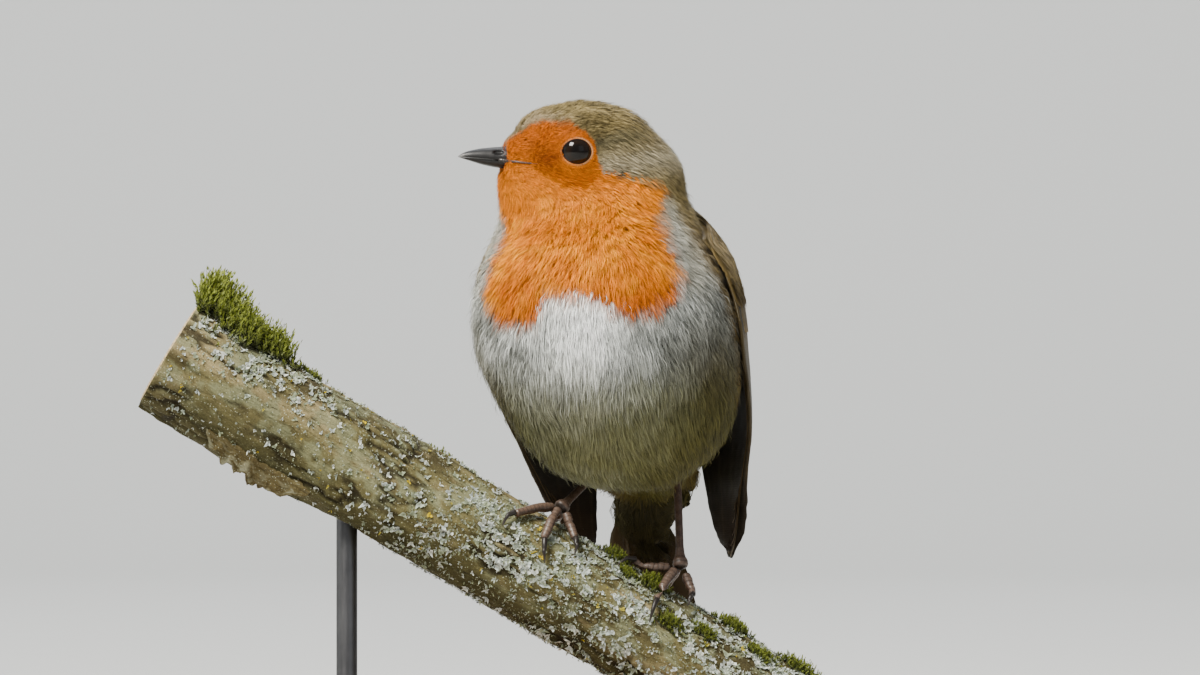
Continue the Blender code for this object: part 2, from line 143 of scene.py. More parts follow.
class Grain:
    """Seeded smooth noise over points in millimetres."""

    def __init__(self, seed: int) -> None:
        """Fills the lattice's table of values; the seed picks the pattern."""
        self.table = np.random.default_rng(seed).uniform(-1.0, 1.0, 4096)

    def corner(self, cell: Array) -> Array:
        """The lattice value at whole-number cells."""
        mixed = cell[..., 0] * 73856093 ^ cell[..., 1] * 19349663 ^ cell[..., 2] * 83492791
        return self.table[np.abs(mixed) % 4096]

    def at(self, points: Array, size: float | Sequence[float], octaves: int = 1) -> Array:
        """Noise from -1 to 1.

        Args:
            points: places, in millimetres.
            size: width of a blotch, or three widths along the axes.
            octaves: layers of finer noise added, each half as wide and half as strong.

        Returns:
            One value for each point.
        """
        total, strength = 0.0, 1.0
        for octave in range(octaves):
            place = points / np.asarray(size) * 2.0 ** octave + 17.3 * octave
            cell = np.floor(place).astype(np.int64)
            part = place - cell
            part = part * part * (3.0 - 2.0 * part)
            value = 0.0
            for step in np.ndindex(2, 2, 2):
                weight = np.prod(np.where(step, part, 1.0 - part), axis=-1)
                value = value + weight * self.corner(cell + np.array(step))
            total = total + value * strength
            strength *= 0.5
        return total / (2.0 - 2.0 * strength)


# ---------------------------------------------------------------- places read from the frame
def centre_of(node: str) -> Array:
    """The middle of a node's box, in metres."""
    low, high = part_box(node)
    return (np.array(low) + np.array(high)) / 2


@dataclass
class Places:
    """Landmarks of the bird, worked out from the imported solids, in metres."""

    eye_left: Array = field(default_factory=lambda: centre_of("eye_left"))
    eye_right: Array = field(default_factory=lambda: centre_of("eye_right"))
    bill: Array = field(default_factory=lambda: centre_of("bill_upper"))
    trunk_low: Array = field(default_factory=lambda: np.array(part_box("trunk")[0]))
    trunk_high: Array = field(default_factory=lambda: np.array(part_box("trunk")[1]))

    def __post_init__(self) -> None:
        """Derives the head's axes and the body's middle line."""
        self.eyes = (self.eye_left + self.eye_right) / 2
        self.left = unit(self.eye_left - self.eye_right)
        self.ahead = unit(np.cross(self.left, UP))
        if np.dot(self.ahead, self.bill - self.eyes) < 0:
            self.ahead = -self.ahead
        self.middle_x = (self.trunk_low[0] + self.trunk_high[0]) / 2

    def on_head(self, points: Array) -> tuple[Array, Array, Array]:
        """Distances ahead of, left of and above the middle between the eyes, in millimetres."""
        offset = (points - self.eyes) / MM
        return offset @ self.ahead, offset @ self.left, offset[..., 2]

    def on_body(self, points: Array) -> tuple[Array, Array, Array]:
        """The body's own measures of a place.

        Args:
            points: places, in metres.

        Returns:
            Degrees round the trunk from the breast's middle, toward the left side; distance
            out from the trunk's axis and height above the floor, in millimetres.
        """
        x = (points[..., 0] - self.middle_x) / MM
        y = (points[..., 1] - self.trunk_middle_y(points[..., 2])) / MM
        across = x * math.cos(BODY_TURN) - y * math.sin(BODY_TURN)
        back = x * math.sin(BODY_TURN) + y * math.cos(BODY_TURN)
        return np.degrees(np.arctan2(across, -back)), np.hypot(across, back), points[..., 2] / MM

    def trunk_middle_y(self, height: Array) -> Array:
        """How far back the trunk's middle lies at a height; it leans back toward the tail."""
        return 0.010 * (1.0 - ramp(0.078, 0.100, height))


def neighbour_mean(mesh: Mesh, values: Array, rounds: int) -> Array:
    """Evens out one value per vertex along the mesh's edges.

    Args:
        mesh: the mesh that carries the values.
        values: one row for each vertex.
        rounds: how many times each vertex takes its neighbours' mean.

    Returns:
        The evened values.
    """
    ends = np.empty(len(mesh.edges) * 2, np.int64)
    mesh.edges.foreach_get("vertices", ends)
    first, second = ends[::2], ends[1::2]
    count = np.bincount(ends, minlength=len(mesh.vertices)).astype(float)
    for _ in range(rounds):
        total = np.empty_like(values)
        for column in range(values.shape[1]):
            total[:, column] = np.bincount(first, values[second, column], len(values))
            total[:, column] += np.bincount(second, values[first, column], len(values))
        values = 0.5 * values + 0.5 * total / np.maximum(count, 1)[:, None]
    return values


# ---------------------------------------------------------------- making objects
def deselect() -> None:
    """Leaves nothing selected, in object mode."""
    if bpy.context.object and bpy.context.object.mode != "OBJECT":
        bpy.ops.object.mode_set(mode="OBJECT")
    bpy.ops.object.select_all(action="DESELECT")


def activate(obj: Object) -> None:
    """Selects one object alone and makes it the active one.

    Args:
        obj: the object.
    """
    deselect()
    obj.select_set(True)
    bpy.context.view_layer.objects.active = obj


def apply_all(obj: Object) -> None:
    """Applies every modifier of an object, in order.

    Args:
        obj: the object.
    """
    activate(obj)
    for name in [modifier.name for modifier in obj.modifiers]:
        bpy.ops.object.modifier_apply(modifier=name)


def settle_transform() -> None:
    """Works the active object's place, turn and size into its mesh."""
    bpy.ops.object.transform_apply(location=True, rotation=True, scale=True)


def read_points(mesh: Mesh) -> Array:
    """A mesh's vertices, one row each.

    Args:
        mesh: the mesh.

    Returns:
        Its vertices, as an array.
    """
    flat = np.empty(len(mesh.vertices) * 3)
    mesh.vertices.foreach_get("co", flat)
    return flat.reshape(-1, 3)


def read_normals(mesh: Mesh) -> Array:
    """A mesh's vertex normals, one row each.

    Args:
        mesh: the mesh.

    Returns:
        Its vertex normals, as an array.
    """
    flat = np.empty(len(mesh.vertices) * 3, np.float32)
    mesh.vertex_normals.foreach_get("vector", flat)
    return flat.reshape(-1, 3).astype(float)


def node_points(node: str) -> Array:
    """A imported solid's vertices, one row each."""
    return read_points(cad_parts[node].data)


def write_points(mesh: Mesh, points: Array) -> None:
    """Moves a mesh's vertices."""
    mesh.vertices.foreach_set("co", points.astype(np.float32).ravel())
    mesh.update()


def paint(mesh: Mesh, colours: Array) -> None:
    """Keeps a linear colour for each vertex in the attribute "tint", which the finishes read.

    Args:
        mesh: the mesh to colour.
        colours: linear red, green and blue, one row for each vertex.
    """
    attribute = mesh.color_attributes.new(name="tint", type="FLOAT_COLOR", domain="POINT")
    rows = np.ones((len(mesh.vertices), 4), np.float32)
    rows[:, :3] = np.clip(colours.reshape(-1, 3), 0.0, 1.0)
    attribute.data.foreach_set("color", rows.ravel())


def note_vane(mesh: Mesh, vane: Array) -> None:
    """Keeps each vertex's place on its vane, across and along in millimetres."""
    attribute = mesh.attributes.new("vane", "FLOAT_VECTOR", "POINT")
    attribute.data.foreach_set("vector", vane.astype(np.float32).ravel())


def cover(obj: Object, finish: Material) -> None:
    """Gives an object one finish in place of any that it has."""
    obj.data.materials.clear()
    obj.data.materials.append(finish)


def thicken(obj: Object, thickness: float, offset: float = 0.0) -> None:
    """Makes a sheet solid: offset 0 grows it to both sides, -1 inward.

    Args:
        obj: the sheet.
        thickness: in metres.
        offset: which side it grows to.
    """
    solid = obj.modifiers.new("thickness", "SOLIDIFY")
    solid.thickness = thickness
    solid.offset = offset
    apply_all(obj)


def faces_of(node: str) -> BVHTree:
    """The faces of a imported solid, ready to be searched."""
    faces = [tuple(face.vertices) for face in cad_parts[node].data.polygons]
    return BVHTree.FromPolygons(node_points(node).tolist(), faces)


def shade_smooth(mesh: Mesh) -> None:
    """Shades all of a mesh's faces smooth."""
    mesh.polygons.foreach_set("use_smooth", np.ones(len(mesh.polygons), bool))


def mesh_object(name: str, points: Array, faces: list[Array],
                material: Material) -> Object:
    """Makes an object from arrays.

    Args:
        name: the piece's name.
        points: vertices in metres, one row each.
        faces: arrays of vertex numbers, one array for each number of corners.
        material: the finish.

    Returns:
        The new object, at the origin.
    """
    mesh = bpy.data.meshes.new(name)
    sizes = np.concatenate([np.full(len(rows), rows.shape[1]) for rows in faces])
    loops = np.concatenate([rows.ravel() for rows in faces])
    mesh.vertices.add(len(points))
    mesh.vertices.foreach_set("co", points.astype(np.float32).ravel())
    mesh.loops.add(len(loops))
    mesh.loops.foreach_set("vertex_index", loops.astype(np.int32))
    mesh.polygons.add(len(sizes))
    starts = np.concatenate([[0], np.cumsum(sizes)[:-1]])
    mesh.polygons.foreach_set("loop_start", starts.astype(np.int32))
    mesh.update(calc_edges=True)
    shade_smooth(mesh)
    mesh.materials.append(material)
    obj = bpy.data.objects.new(name, mesh)
    bpy.context.collection.objects.link(obj)
    return obj


def copy_nodes(name: str, nodes: Sequence[str], swell: float = 0.0) -> Object:
    """Joins merged copies of CAD nodes into one object.

    Args:
        name: the new object's name.
        nodes: the nodes to copy.
        swell: how far each copy's surface is moved outward, in metres.

    Returns:
        The joined object.
    """
    bm = bmesh.new()
    for node in nodes:
        one = bmesh.new()
        one.from_mesh(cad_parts[node].data)
        bmesh.ops.remove_doubles(one, verts=one.verts, dist=2e-6)
        one.normal_update()
        if swell:
            moves = [vertex.normal.copy() * swell for vertex in one.verts]
            for vertex, move in zip(one.verts, moves):
                vertex.co += move
        spare = bpy.data.meshes.new("spare")
        one.to_mesh(spare)
        one.free()
        bm.from_mesh(spare)
        bpy.data.meshes.remove(spare)
    mesh = bpy.data.meshes.new(name)
    bm.to_mesh(mesh)
    bm.free()
    obj = bpy.data.objects.new(name, mesh)
    bpy.context.collection.objects.link(obj)
    return obj


def face_outward(obj: Object) -> None:
    """Turns a closed piece's faces outward.

    Args:
        obj: the piece.
    """
    bm = bmesh.new()
    bm.from_mesh(obj.data)
    bmesh.ops.recalc_face_normals(bm, faces=bm.faces)
    bm.to_mesh(obj.data)
    bm.free()


def settle(obj: Object, replaced: Sequence[str] = ()) -> None:
    """Rides a finished piece on the bird, hides the CAD nodes that it replaces and logs its faces.

    Args:
        obj: the piece.
        replaced: the CAD nodes that it replaces.
    """
    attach(obj, "root")
    if replaced:
        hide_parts(*replaced)
    log.info("%s: %d faces", obj.name, len(obj.data.polygons))


# ---------------------------------------------------------------- shader expressions
class Wire:
    """A shader socket that adds Math nodes when it is used in an expression."""

    def __init__(self, shader: "Shader", socket: bpy.types.NodeSocket) -> None:
        """Keeps the socket and the shader that it belongs to."""
        self.shader = shader
        self.socket = socket

    def _math(self, operation: str, *values: "Wire | float") -> "Wire":
        """Adds one Math node on the given values."""
        return self.shader.math(operation, *values)

    def __add__(self, other: "Wire | float") -> "Wire":
        """Sum."""
        return self._math("ADD", self, other)

    def __radd__(self, other: float) -> "Wire":
        """Sum with a number first."""
        return self._math("ADD", other, self)

    def __sub__(self, other: "Wire | float") -> "Wire":
        """Difference."""
        return self._math("SUBTRACT", self, other)

    def __rsub__(self, other: float) -> "Wire":
        """Difference with a number first."""
        return self._math("SUBTRACT", other, self)

    def __mul__(self, other: "Wire | float") -> "Wire":
        """Product."""
        return self._math("MULTIPLY", self, other)

    def __rmul__(self, other: float) -> "Wire":
        """Product with a number first."""
        return self._math("MULTIPLY", other, self)

    def __truediv__(self, other: "Wire | float") -> "Wire":
        """Quotient."""
        return self._math("DIVIDE", self, other)

    def __pow__(self, other: float) -> "Wire":
        """Power."""
        return self._math("POWER", self, other)


Value = Wire | float | Sequence[float]


class Shader:
    """One material's node tree, with a short way to add nodes."""

    def __init__(self, name: str) -> None:
        """Makes the material with its Principled shader.

        Args:
            name: the material's name.
        """
        self.material = bpy.data.materials.new(name)
        self.material.use_nodes = True
        self.tree = self.material.node_tree
        self.principled = self.tree.nodes["Principled BSDF"]

    def node(self, kind: str, settings: dict[str, object] | None = None, output: str | int = 0,
             **values: Value) -> Wire:
        """Adds a node.

        Args:
            kind: the node's type, without the leading ShaderNode.
            settings: its properties, set before its sockets.
            output: the output to return.
            values: numbers, rows of numbers or wires, by socket name with _ for a space.

        Returns:
            The wire of the chosen output.
        """
        made = self.tree.nodes.new("ShaderNode" + kind)
        for key, value in (settings or {}).items():
            setattr(made, key, value)
        for key, value in values.items():
            index = int(key[1:]) if key[0] == "s" and key[1:].isdigit() else None
            self.feed(made.inputs[index if index is not None else key.replace("_", " ")], value)
        return Wire(self, made.outputs[output])

    def feed(self, socket: bpy.types.NodeSocket, value: Value) -> None:
        """Links a wire to a socket, or sets the socket's own value.

        Args:
            socket: the input.
            value: a wire, a number or a row of numbers.
        """
        if isinstance(value, Wire):
            self.tree.links.new(value.socket, socket)
        elif isinstance(value, (tuple, list)) and socket.type == "RGBA":
            socket.default_value = (*value, 1.0)[:4]
        else:
            socket.default_value = value

    def math(self, operation: str, *values: Value) -> Wire:
        """Adds a Math node."""
        sockets = {f"s{index}": value for index, value in enumerate(values)}
        return self.node("Math", {"operation": operation}, **sockets)

    def step(self, low: float, high: float, value: Wire) -> Wire:
        """A smooth step from 0 at low to 1 at high."""
        kind = {"interpolation_type": "SMOOTHSTEP"}
        return self.node("MapRange", kind, Value=value, From_Min=low, From_Max=high)

    def mix(self, share: Value, first: Value, second: Value, mode: str = "MIX") -> Wire:
        """Mixes two colours."""
        kind = {"data_type": "RGBA", "blend_type": mode, "clamp_result": mode != "MIX"}
        return self.node("Mix", kind, output=2, s0=share, s6=first, s7=second)

    def where(self, scale: Sequence[float] = (1.0, 1.0, 1.0),
              turn: Sequence[float] = (0.0, 0.0, 0.0)) -> Wire:
        """Object coordinates in millimetres, turned and then scaled along each axis.

        Args:
            scale: a factor for each axis.
            turn: angles about the axes.

        Returns:
            The places' wire.
        """
        place = self.node("TexCoord", output="Object")
        turned = self.node("Mapping", Vector=place, Rotation=tuple(turn), Scale=(1000.0,) * 3)
        return self.stretch(turned, scale)

    def stretch(self, place: Wire, scale: Sequence[float]) -> Wire:
        """Places scaled along each axis."""
        return self.node("VectorMath", {"operation": "MULTIPLY"}, s0=place, s1=tuple(scale))

    def noise(self, place: Wire, scale: float, detail: float = 3.0, rough: float = 0.55,
              distortion: float = 0.0) -> Wire:
        """Smooth noise from 0 to 1 at places in millimetres."""
        return self.node("TexNoise", Vector=place, Scale=scale, Detail=detail, Roughness=rough,
                         Distortion=distortion)

    def cells(self, place: Wire, scale: float, feature: str = "F1", output: str = "Distance") -> Wire:
        """Distances in a field of scattered points."""
        return self.node("TexVoronoi", {"feature": feature}, output=output, Vector=place, Scale=scale)

    def colour_of(self, name: str) -> Wire:
        """A colour attribute of the mesh."""
        return self.node("Attribute", {"attribute_name": name}, output="Color")

    def tinted(self, level: Wire) -> Wire:
        """The mesh's own tint, made darker or lighter by a level."""
        shade = self.node("CombineColor", Red=level, Green=level, Blue=level)
        return self.mix(1.0, self.colour_of("tint"), shade, "MULTIPLY")

    def finish(self, colour: Value, roughness: Value, height: Wire | None = None,
               depth: float = 0.1, **constants: float | Sequence[float]) -> Material:
        """Feeds the Principled shader.

        Args:
            colour: the base colour.
            roughness: a wire or a number.
            height: a wire for the Bump node, in units of depth.
            depth: how high the bumps are, in millimetres.
            constants: values for other sockets, by name with _ for a space.

        Returns:
            The finished material.
        """
        inputs = self.principled.inputs
        self.feed(inputs["Base Color"], colour)
        self.feed(inputs["Roughness"], roughness)
        if height is not None:
            bump = self.node("Bump", Height=height, Distance=depth * MM, Strength=1.0)
            self.feed(inputs["Normal"], bump)
        for key, value in constants.items():
            self.feed(inputs[key.replace("_", " ")], value)
        self.material.diffuse_color = (0.5, 0.5, 0.5, 1.0)
        return self.material


@dataclass(frozen=True)
class Finish:
    """A surface's look, made into a material; each kind lays its own nodes."""

    name: str

    def build(self) -> Material:
        """Makes the material."""
        return self.lay(Shader(self.name))


@dataclass(frozen=True)
class FeatherFinish(Finish):
    """Soft feather: the mesh's own tints, broken up along the barbs."""

    roughness: float = 0.62
    sheen: float = 0.04
    grain: float = 0.18

    def lay(self, shader: Shader) -> Material:
        """Lays the nodes.

        Args:
            shader: the material's nodes.

        Returns:
            The finished material.
        """
        place = shader.where()
        fleck = shader.noise(place, 2.4, 4.0, 0.6)
        fine = shader.noise(place, 9.0, 2.0, 0.5)
        level = 1.0 - self.grain * 0.5 + self.grain * (fleck * 0.7 + fine * 0.3)
        level = self.grain * 0.15 + level
        colour = shader.tinted(level)
        rough = self.roughness - 0.08 + 0.16 * fine
        return shader.finish(colour, rough, fine, 0.03, Sheen_Weight=self.sheen,
                             Sheen_Roughness=0.45, Specular_IOR_Level=0.12)


# ---------------------------------------------------------------- markings, coat and lie
Tint = tuple[float, float, float]


@dataclass(frozen=True)
class Pigments:
    """Linear colours of the plumage."""

    orange: Tint = (0.62, 0.176, 0.0)
    orange_deep: Tint = (0.37, 0.070, 0.0)
    orange_pale: Tint = (0.86, 0.33, 0.0)
    lore: Tint = (0.19, 0.034, 0.0)
    white: Tint = (0.95, 0.98, 0.95)
    silver: Tint = (0.36, 0.375, 0.355)
    smoke: Tint = (0.055, 0.058, 0.045)
    buff: Tint = (0.085, 0.068, 0.020)
    belly: Tint = (0.20, 0.205, 0.090)
    olive: Tint = (0.078, 0.074, 0.013)
    crown: Tint = (0.25, 0.19, 0.075)
    crown_dark: Tint = (0.060, 0.044, 0.014)
    fringe: Tint = (0.34, 0.27, 0.17)
    ear: Tint = (0.33, 0.29, 0.19)
    streak: Tint = (0.070, 0.064, 0.036)
    side_neck: Tint = (0.37, 0.36, 0.295)
    back: Tint = (0.125, 0.084, 0.022)
    golden: Tint = (0.30, 0.235, 0.125)
    vent: Tint = (0.36, 0.33, 0.20)
    # painted shade on the vent, brown and then darker
    vent_painted_shade: Tint = (0.105, 0.088, 0.034)
    vent_painted_deep_shade: Tint = (0.052, 0.040, 0.014)
    under: Tint = (0.060, 0.056, 0.042)


@dataclass
class Plumage:
    """Where the bird is which colour, how long its feathers are and which way they lie."""

    places: Places
    pigments: Pigments = Pigments()
    muzzle: float = 2.6
    opening: tuple[float, float] = (2.72, 2.36)     # half width and half height between the lids
    eye_radius: float = 3.1
    # The orange's upper edge on the head: distance ahead of the eyes, height above them.
    face_edge: Sequence[tuple[float, float]] = (
        (-20, -9.4), (-14, -6.6), (-9, -5.2), (-6, -3.9), (-4.4, -2.0), (-3.9, 0.0),
        (-3.4, 2.2), (-1.5, 4.3), (2, 5.3), (6, 5.5), (9.5, 4.2), (12, 2.6), (14, 1.6))
    # Its lower edge on the breast: degrees round the trunk, height above the floor.
    breast_edge: Sequence[tuple[float, float]] = (
        (-62, 121), (-52, 115.0), (-38, 111.0), (-22, 109.6), (-15, 111.6), (-10, 114.6),
        (13, 114.4), (18, 112.0), (27, 110.4), (36, 112.0), (50, 116), (60, 122))
    # Its width: height above the floor, degrees to each side.
    breast_width: Sequence[tuple[float, float]] = (
        (110, 48), (122, 51), (130, 52), (134, 62), (137, 76), (140, 104), (146, 180))

    def __post_init__(self) -> None:
        """Seeds the patterns of blotches and the feathers' swirl."""
        self.blotches = Grain(3)
        self.locks = Grain(7)
        self.swirl = Grain(11)

    def orange_share(self, points: Array) -> Array:
        """How orange each place is, from 0 to 1.

        Args:
            points: places on the bird, in metres.

        Returns:
            One share for each place.
        """
        ahead, left, above = self.places.on_head(points)
        round_, _, height = self.places.on_body(points)
        jagged = self.locks.at(points / MM, (1.5, 1.5, 4.0), 2)
        middle = np.clip(1.0 - np.abs(left) / 5.0, 0.0, 1.0) * ramp(4.0, 10.0, ahead)
        top = np.interp(ahead, *zip(*self.face_edge)) - 1.3 * middle - above + 0.7 * jagged
        low = height - np.interp(round_, *zip(*self.breast_edge)) + 2.2 * jagged
        side = np.interp(height, *zip(*self.breast_width)) - np.abs(round_) + 6.0 * jagged
        return ramp(-0.5, 0.6, top) * ramp(-1.6, 1.6, low) * ramp(-5.0, 5.0, side)

    def head_colour(self, points: Array) -> Array:
        """The colour above and behind the orange of the face.

        Args:
            points: places on the bird, in metres.

        Returns:
            Linear colours, one row each.
        """
        ahead, left, above = self.places.on_head(points)
        pigments = self.pigments
        blotch = self.blotches.at(points / MM, 2.2, 2)
        local = np.stack([ahead + 0.9 * above, left, above], axis=-1)
        wavy = self.locks.at(local + 0.5 * blotch[:, None], (3.2, 0.75, 0.75), 2)
        top = np.interp(ahead, *zip(*self.face_edge))
        mottled = np.clip(0.22 + 0.2 * blotch + 0.75 * wavy, 0.0, 0.9)
        rim = ramp(3.4, 0.2, above - top + 0.8 * blotch) * ramp(-2.0, 3.0, ahead)
        streak = bell(above + 0.10 * (ahead + 6), 1.6, 1.5)
        streak *= ramp(-3.0, -4.6, ahead) * ramp(-19.0, -10.0, ahead)
        ear = bell(above + 0.05 * ahead, -3.2, 2.9) * ramp(-3.2, -6.0, ahead)
        ear = np.clip(ear, 0, 1) * (0.95 - 0.45 * ramp(-0.1, 0.7, wavy))
        spot = bell(ahead, -9.2, 1.1) * bell(above, -4.5, 0.45)
        return layered(
            pigments.crown,
            (pigments.crown_dark, mottled),
            (pigments.fringe, 0.75 * rim * ramp(0.6, -0.3, wavy)),      # along the orange's edge
            (pigments.ear, ear),                                        # pale patch behind the eye
            (pigments.streak, 0.75 * streak),                           # dusky line over it
            (0.4 * np.array(pigments.streak), np.clip(1.3 * spot, 0, 1)))

    def body_colour(self, points: Array) -> Array:
        """The colour of the trunk where it isn't orange.

        Args:
            points: places on the bird, in metres.

        Returns:
            Linear colours, one row each.
        """
        pigments = self.pigments
        round_, _, height = self.places.on_body(points)
        strands = self.locks.at(points / MM, (0.9, 0.9, 5.5), 2)
        blotch = self.blotches.at(points / MM, (3.2, 3.2, 6.5), 2)
        broad = self.blotches.at(points / MM, (9.0, 9.0, 13.0), 2)
        wide = np.abs(round_)
        middle = bell(round_, 5.0, 15.5) * ramp(94.0, 106.0, height + 3.0 * broad)
        smoke = ramp(-0.25, 0.75, 0.8 * strands + 0.8 * blotch + 0.5 * broad) * (1.0 - 0.92 * middle)
        smoke = smoke * (0.45 + 0.35 * ramp(118.0, 100.0, height))
        bright = np.clip(0.40 * ramp(0.0, 0.8, -strands - 0.6 * blotch) + 0.95 * middle, 0, 1)
        painted_shade_left = ramp(24.0, 48.0, round_) * ramp(113.0, 103.0, height + 3.0 * blotch)
        low = ramp(106.0, 89.0, height + 3.5 * blotch)
        flank = ramp(32.0, 72.0, wide + 5.0 * blotch) * ramp(119.0, 98.0, height + 3.0 * blotch)
        across = (points[:, 0] - self.places.middle_x) / MM
        # The buff vent is painted brown, then darker still, across toward the bird's left: painted shade
        # under the body.
        vent = layered(
            pigments.vent,
            (pigments.vent_painted_shade, ramp(0.5, 4.5, across + 1.2 * strands)),
            (pigments.vent_painted_deep_shade,
             ramp(3.5, 7.5, across + 1.2 * strands) * (1.0 - 0.35 * ramp(11.0, 14.0, across))))
        golden = ramp(86.0, 70.0, wide + 4.0 * blotch)
        golden = golden * ramp(115.0, 122.0, height) * ramp(139.0, 131.0, height)
        back = ramp(60.0, 70.0, wide + 5.0 * blotch - 1.3 * np.maximum(124.0 - height, 0.0))
        return layered(
            pigments.silver,
            (pigments.smoke, smoke),                                    # loose grey strands
            (pigments.white, bright),                                   # down the belly's middle
            # painted shade low on the bird's left side
            (pigments.smoke, 0.34 * painted_shade_left),
            # darker and more olive toward the bottom: partly the bird's own olive, partly painted shade
            (pigments.belly, 0.80 * low),
            (pigments.buff, 0.88 * flank),
            (pigments.olive, 0.66 * low * (0.50 + 0.50 * ramp(10, 60, wide))),
            (vent, 0.9 * ramp(80.0, 76.0, height)),
            (blend(pigments.back, pigments.golden, 0.8 * golden), back * ramp(74.0, 88.0, height)))

    def colour(self, points: Array) -> Array:
        """The coat's colour at places on the skin.

        Args:
            points: places, in metres.

        Returns:
            Linear colours, one row each.
        """
        pigments = self.pigments
        ahead, _, above = self.places.on_head(points)
        round_, _, height = self.places.on_body(points)
        blotch = self.blotches.at(points / MM, 3.0, 3)
        wide = np.abs(round_)
        on_head = ramp(126.0, 137.0, height + 0.12 * (wide - 60.0))
        side_neck = ramp(50.0, 60.0, wide) * ramp(76.0, 64.0, wide)
        side_neck *= ramp(112.0, 120.0, height) * ramp(138.0, 131.0, height)
        pale = ramp(138.0, 130.0, height) * ramp(-0.3, 0.5, blotch)
        deep = np.maximum(ramp(121.0, 112.0, height + 4.0 * blotch),
                          ramp(137.0, 147.0, height + 2.0 * blotch))
        lore = np.clip(bell(ahead, 4.8, 3.0) * bell(above, -1.2, 2.2), 0, 1)
        orange = layered(
            pigments.orange,
            # paler orange on the upper breast, partly its own tone; the extra toward the bird's right is a
            # painted highlight
            (pigments.orange_pale, pale * (0.50 + 0.45 * ramp(0.0, -30.0, round_))),
            (pigments.orange_deep, 0.75 * deep),                        # forehead and lowest breast
            (pigments.lore, 0.8 * lore))                                # between bill and eye
        return layered(
            self.body_colour(points),
            (self.head_colour(points), on_head),
            (pigments.side_neck, 0.85 * side_neck),
            (orange, self.orange_share(points)))

    def depth(self, points: Array) -> Array:
        """How far the skin lies under the coat's outline, in metres.

        Args:
            points: places on the bird, in metres.

        Returns:
            One depth for each place.
        """
        ahead = self.places.on_head(points)[0]
        round_, _, height = self.places.on_body(points)
        muzzle = ramp(-3.0, 9.0, ahead)
        head = 1.35 - 0.7 * muzzle
        head = head - (head - 0.22) * ramp(6.5, 3.6, self.eye_distance(points))
        body = 2.5 - 0.7 * ramp(80.0, 120.0, np.abs(round_)) + 2.9 * ramp(80.5, 76.0, height)
        return MM * (head + (body - head) * ramp(141.0, 126.0, height))

    def eye_distance(self, points: Array) -> Array:
        """Distance from the nearer eye's middle, in millimetres.

        Args:
            points: places on the bird, in metres.

        Returns:
            One distance for each place.
        """
        places = self.places
        return np.minimum(np.linalg.norm(points - places.eye_left, axis=-1),
                          np.linalg.norm(points - places.eye_right, axis=-1)) / MM

    def fullness(self, points: Array) -> Array:
        """How far the skin is puffed out or drawn in against the solids, in metres.

        Args:
            points: places on the bird, in metres.

        Returns:
            One height for each place, outward.
        """
        ahead, _, above = self.places.on_head(points)
        brow = ramp(2.0, 6.0, above) * ramp(-8.0, 0.0, ahead) * ramp(15.0, 9.0, ahead)
        return MM * 1.0 * brow

    def muzzle_push(self, points: Array) -> Array:
        """How far the face and the throat are drawn forward round the bill, in metres.

        Args:
            points: places on the bird, in metres.

        Returns:
            One move for each place.
        """
        ahead, left, above = self.places.on_head(points)
        front = ramp(3.0, 8.5, ahead) * ramp(-22.0, -13.0, above) * ramp(4.2, 0.4, above)
        front = front * (0.55 + 0.45 * ramp(-9.0, -4.0, above)) * ramp(9.0, 3.5, np.abs(left))
        return self.places.ahead * (self.muzzle * MM * front)[:, None]

    def raise_sockets(self, points: Array) -> Array:
        """Brings the skin round each eye level with the lid's edge.

        Args:
            points: places on the skin, in metres.

        Returns:
            The places, moved sideways near the eyes.
        """
        places = self.places
        moved = points.copy()
        for eye, sign in ((places.eye_left, 1.0), (places.eye_right, -1.0)):
            offset = (points - eye) / MM
            ahead, above, out = offset @ places.ahead, offset[:, 2], sign * (offset @ places.left)
            reach = np.maximum(np.hypot(ahead, above), 1e-6)
            edge = 1.0 / np.hypot(ahead / reach / self.opening[0], above / reach / self.opening[1])
            rim = np.sqrt(self.eye_radius ** 2 - edge ** 2)
            past = np.maximum(reach - edge, 0.0)        # how far outside the lids' opening
            slope = 0.22 * past + (0.04 + 0.07 * ramp(-1.0, 3.0, ahead)) * past ** 2
            rise = np.where(reach > edge, rim - 0.12 - slope, rim - 0.35) - out
            rise = np.where(rise > 0.0, rise * ramp(7.5, 5.0, past), rise * ramp(2.2, 0.4, past))
            moved += places.left * (sign * MM * rise * (out > -2.5))[:, None]
        return moved

    def length(self, points: Array) -> Array:
        """How long the feathers are, in metres.

        Args:
            points: places on the bird, in metres.

        Returns:
            One length for each place.
        """
        ahead, height = self.places.on_head(points)[0], points[..., 2] / MM
        head = 1.35 + 2.1 * ramp(9.0, -6.0, ahead)
        head = np.minimum(head, 0.9 + 0.42 * np.maximum(self.eye_distance(points) - 3.0, 0.0))
        neck = 3.6 + 1.4 * ramp(134.0, 122.0, height)
        long = neck + 2.1 * ramp(116.0, 96.0, height) - 3.4 * ramp(80.0, 75.0, height)
        return MM * (head + (long - head) * ramp(142.5, 131.0, height))

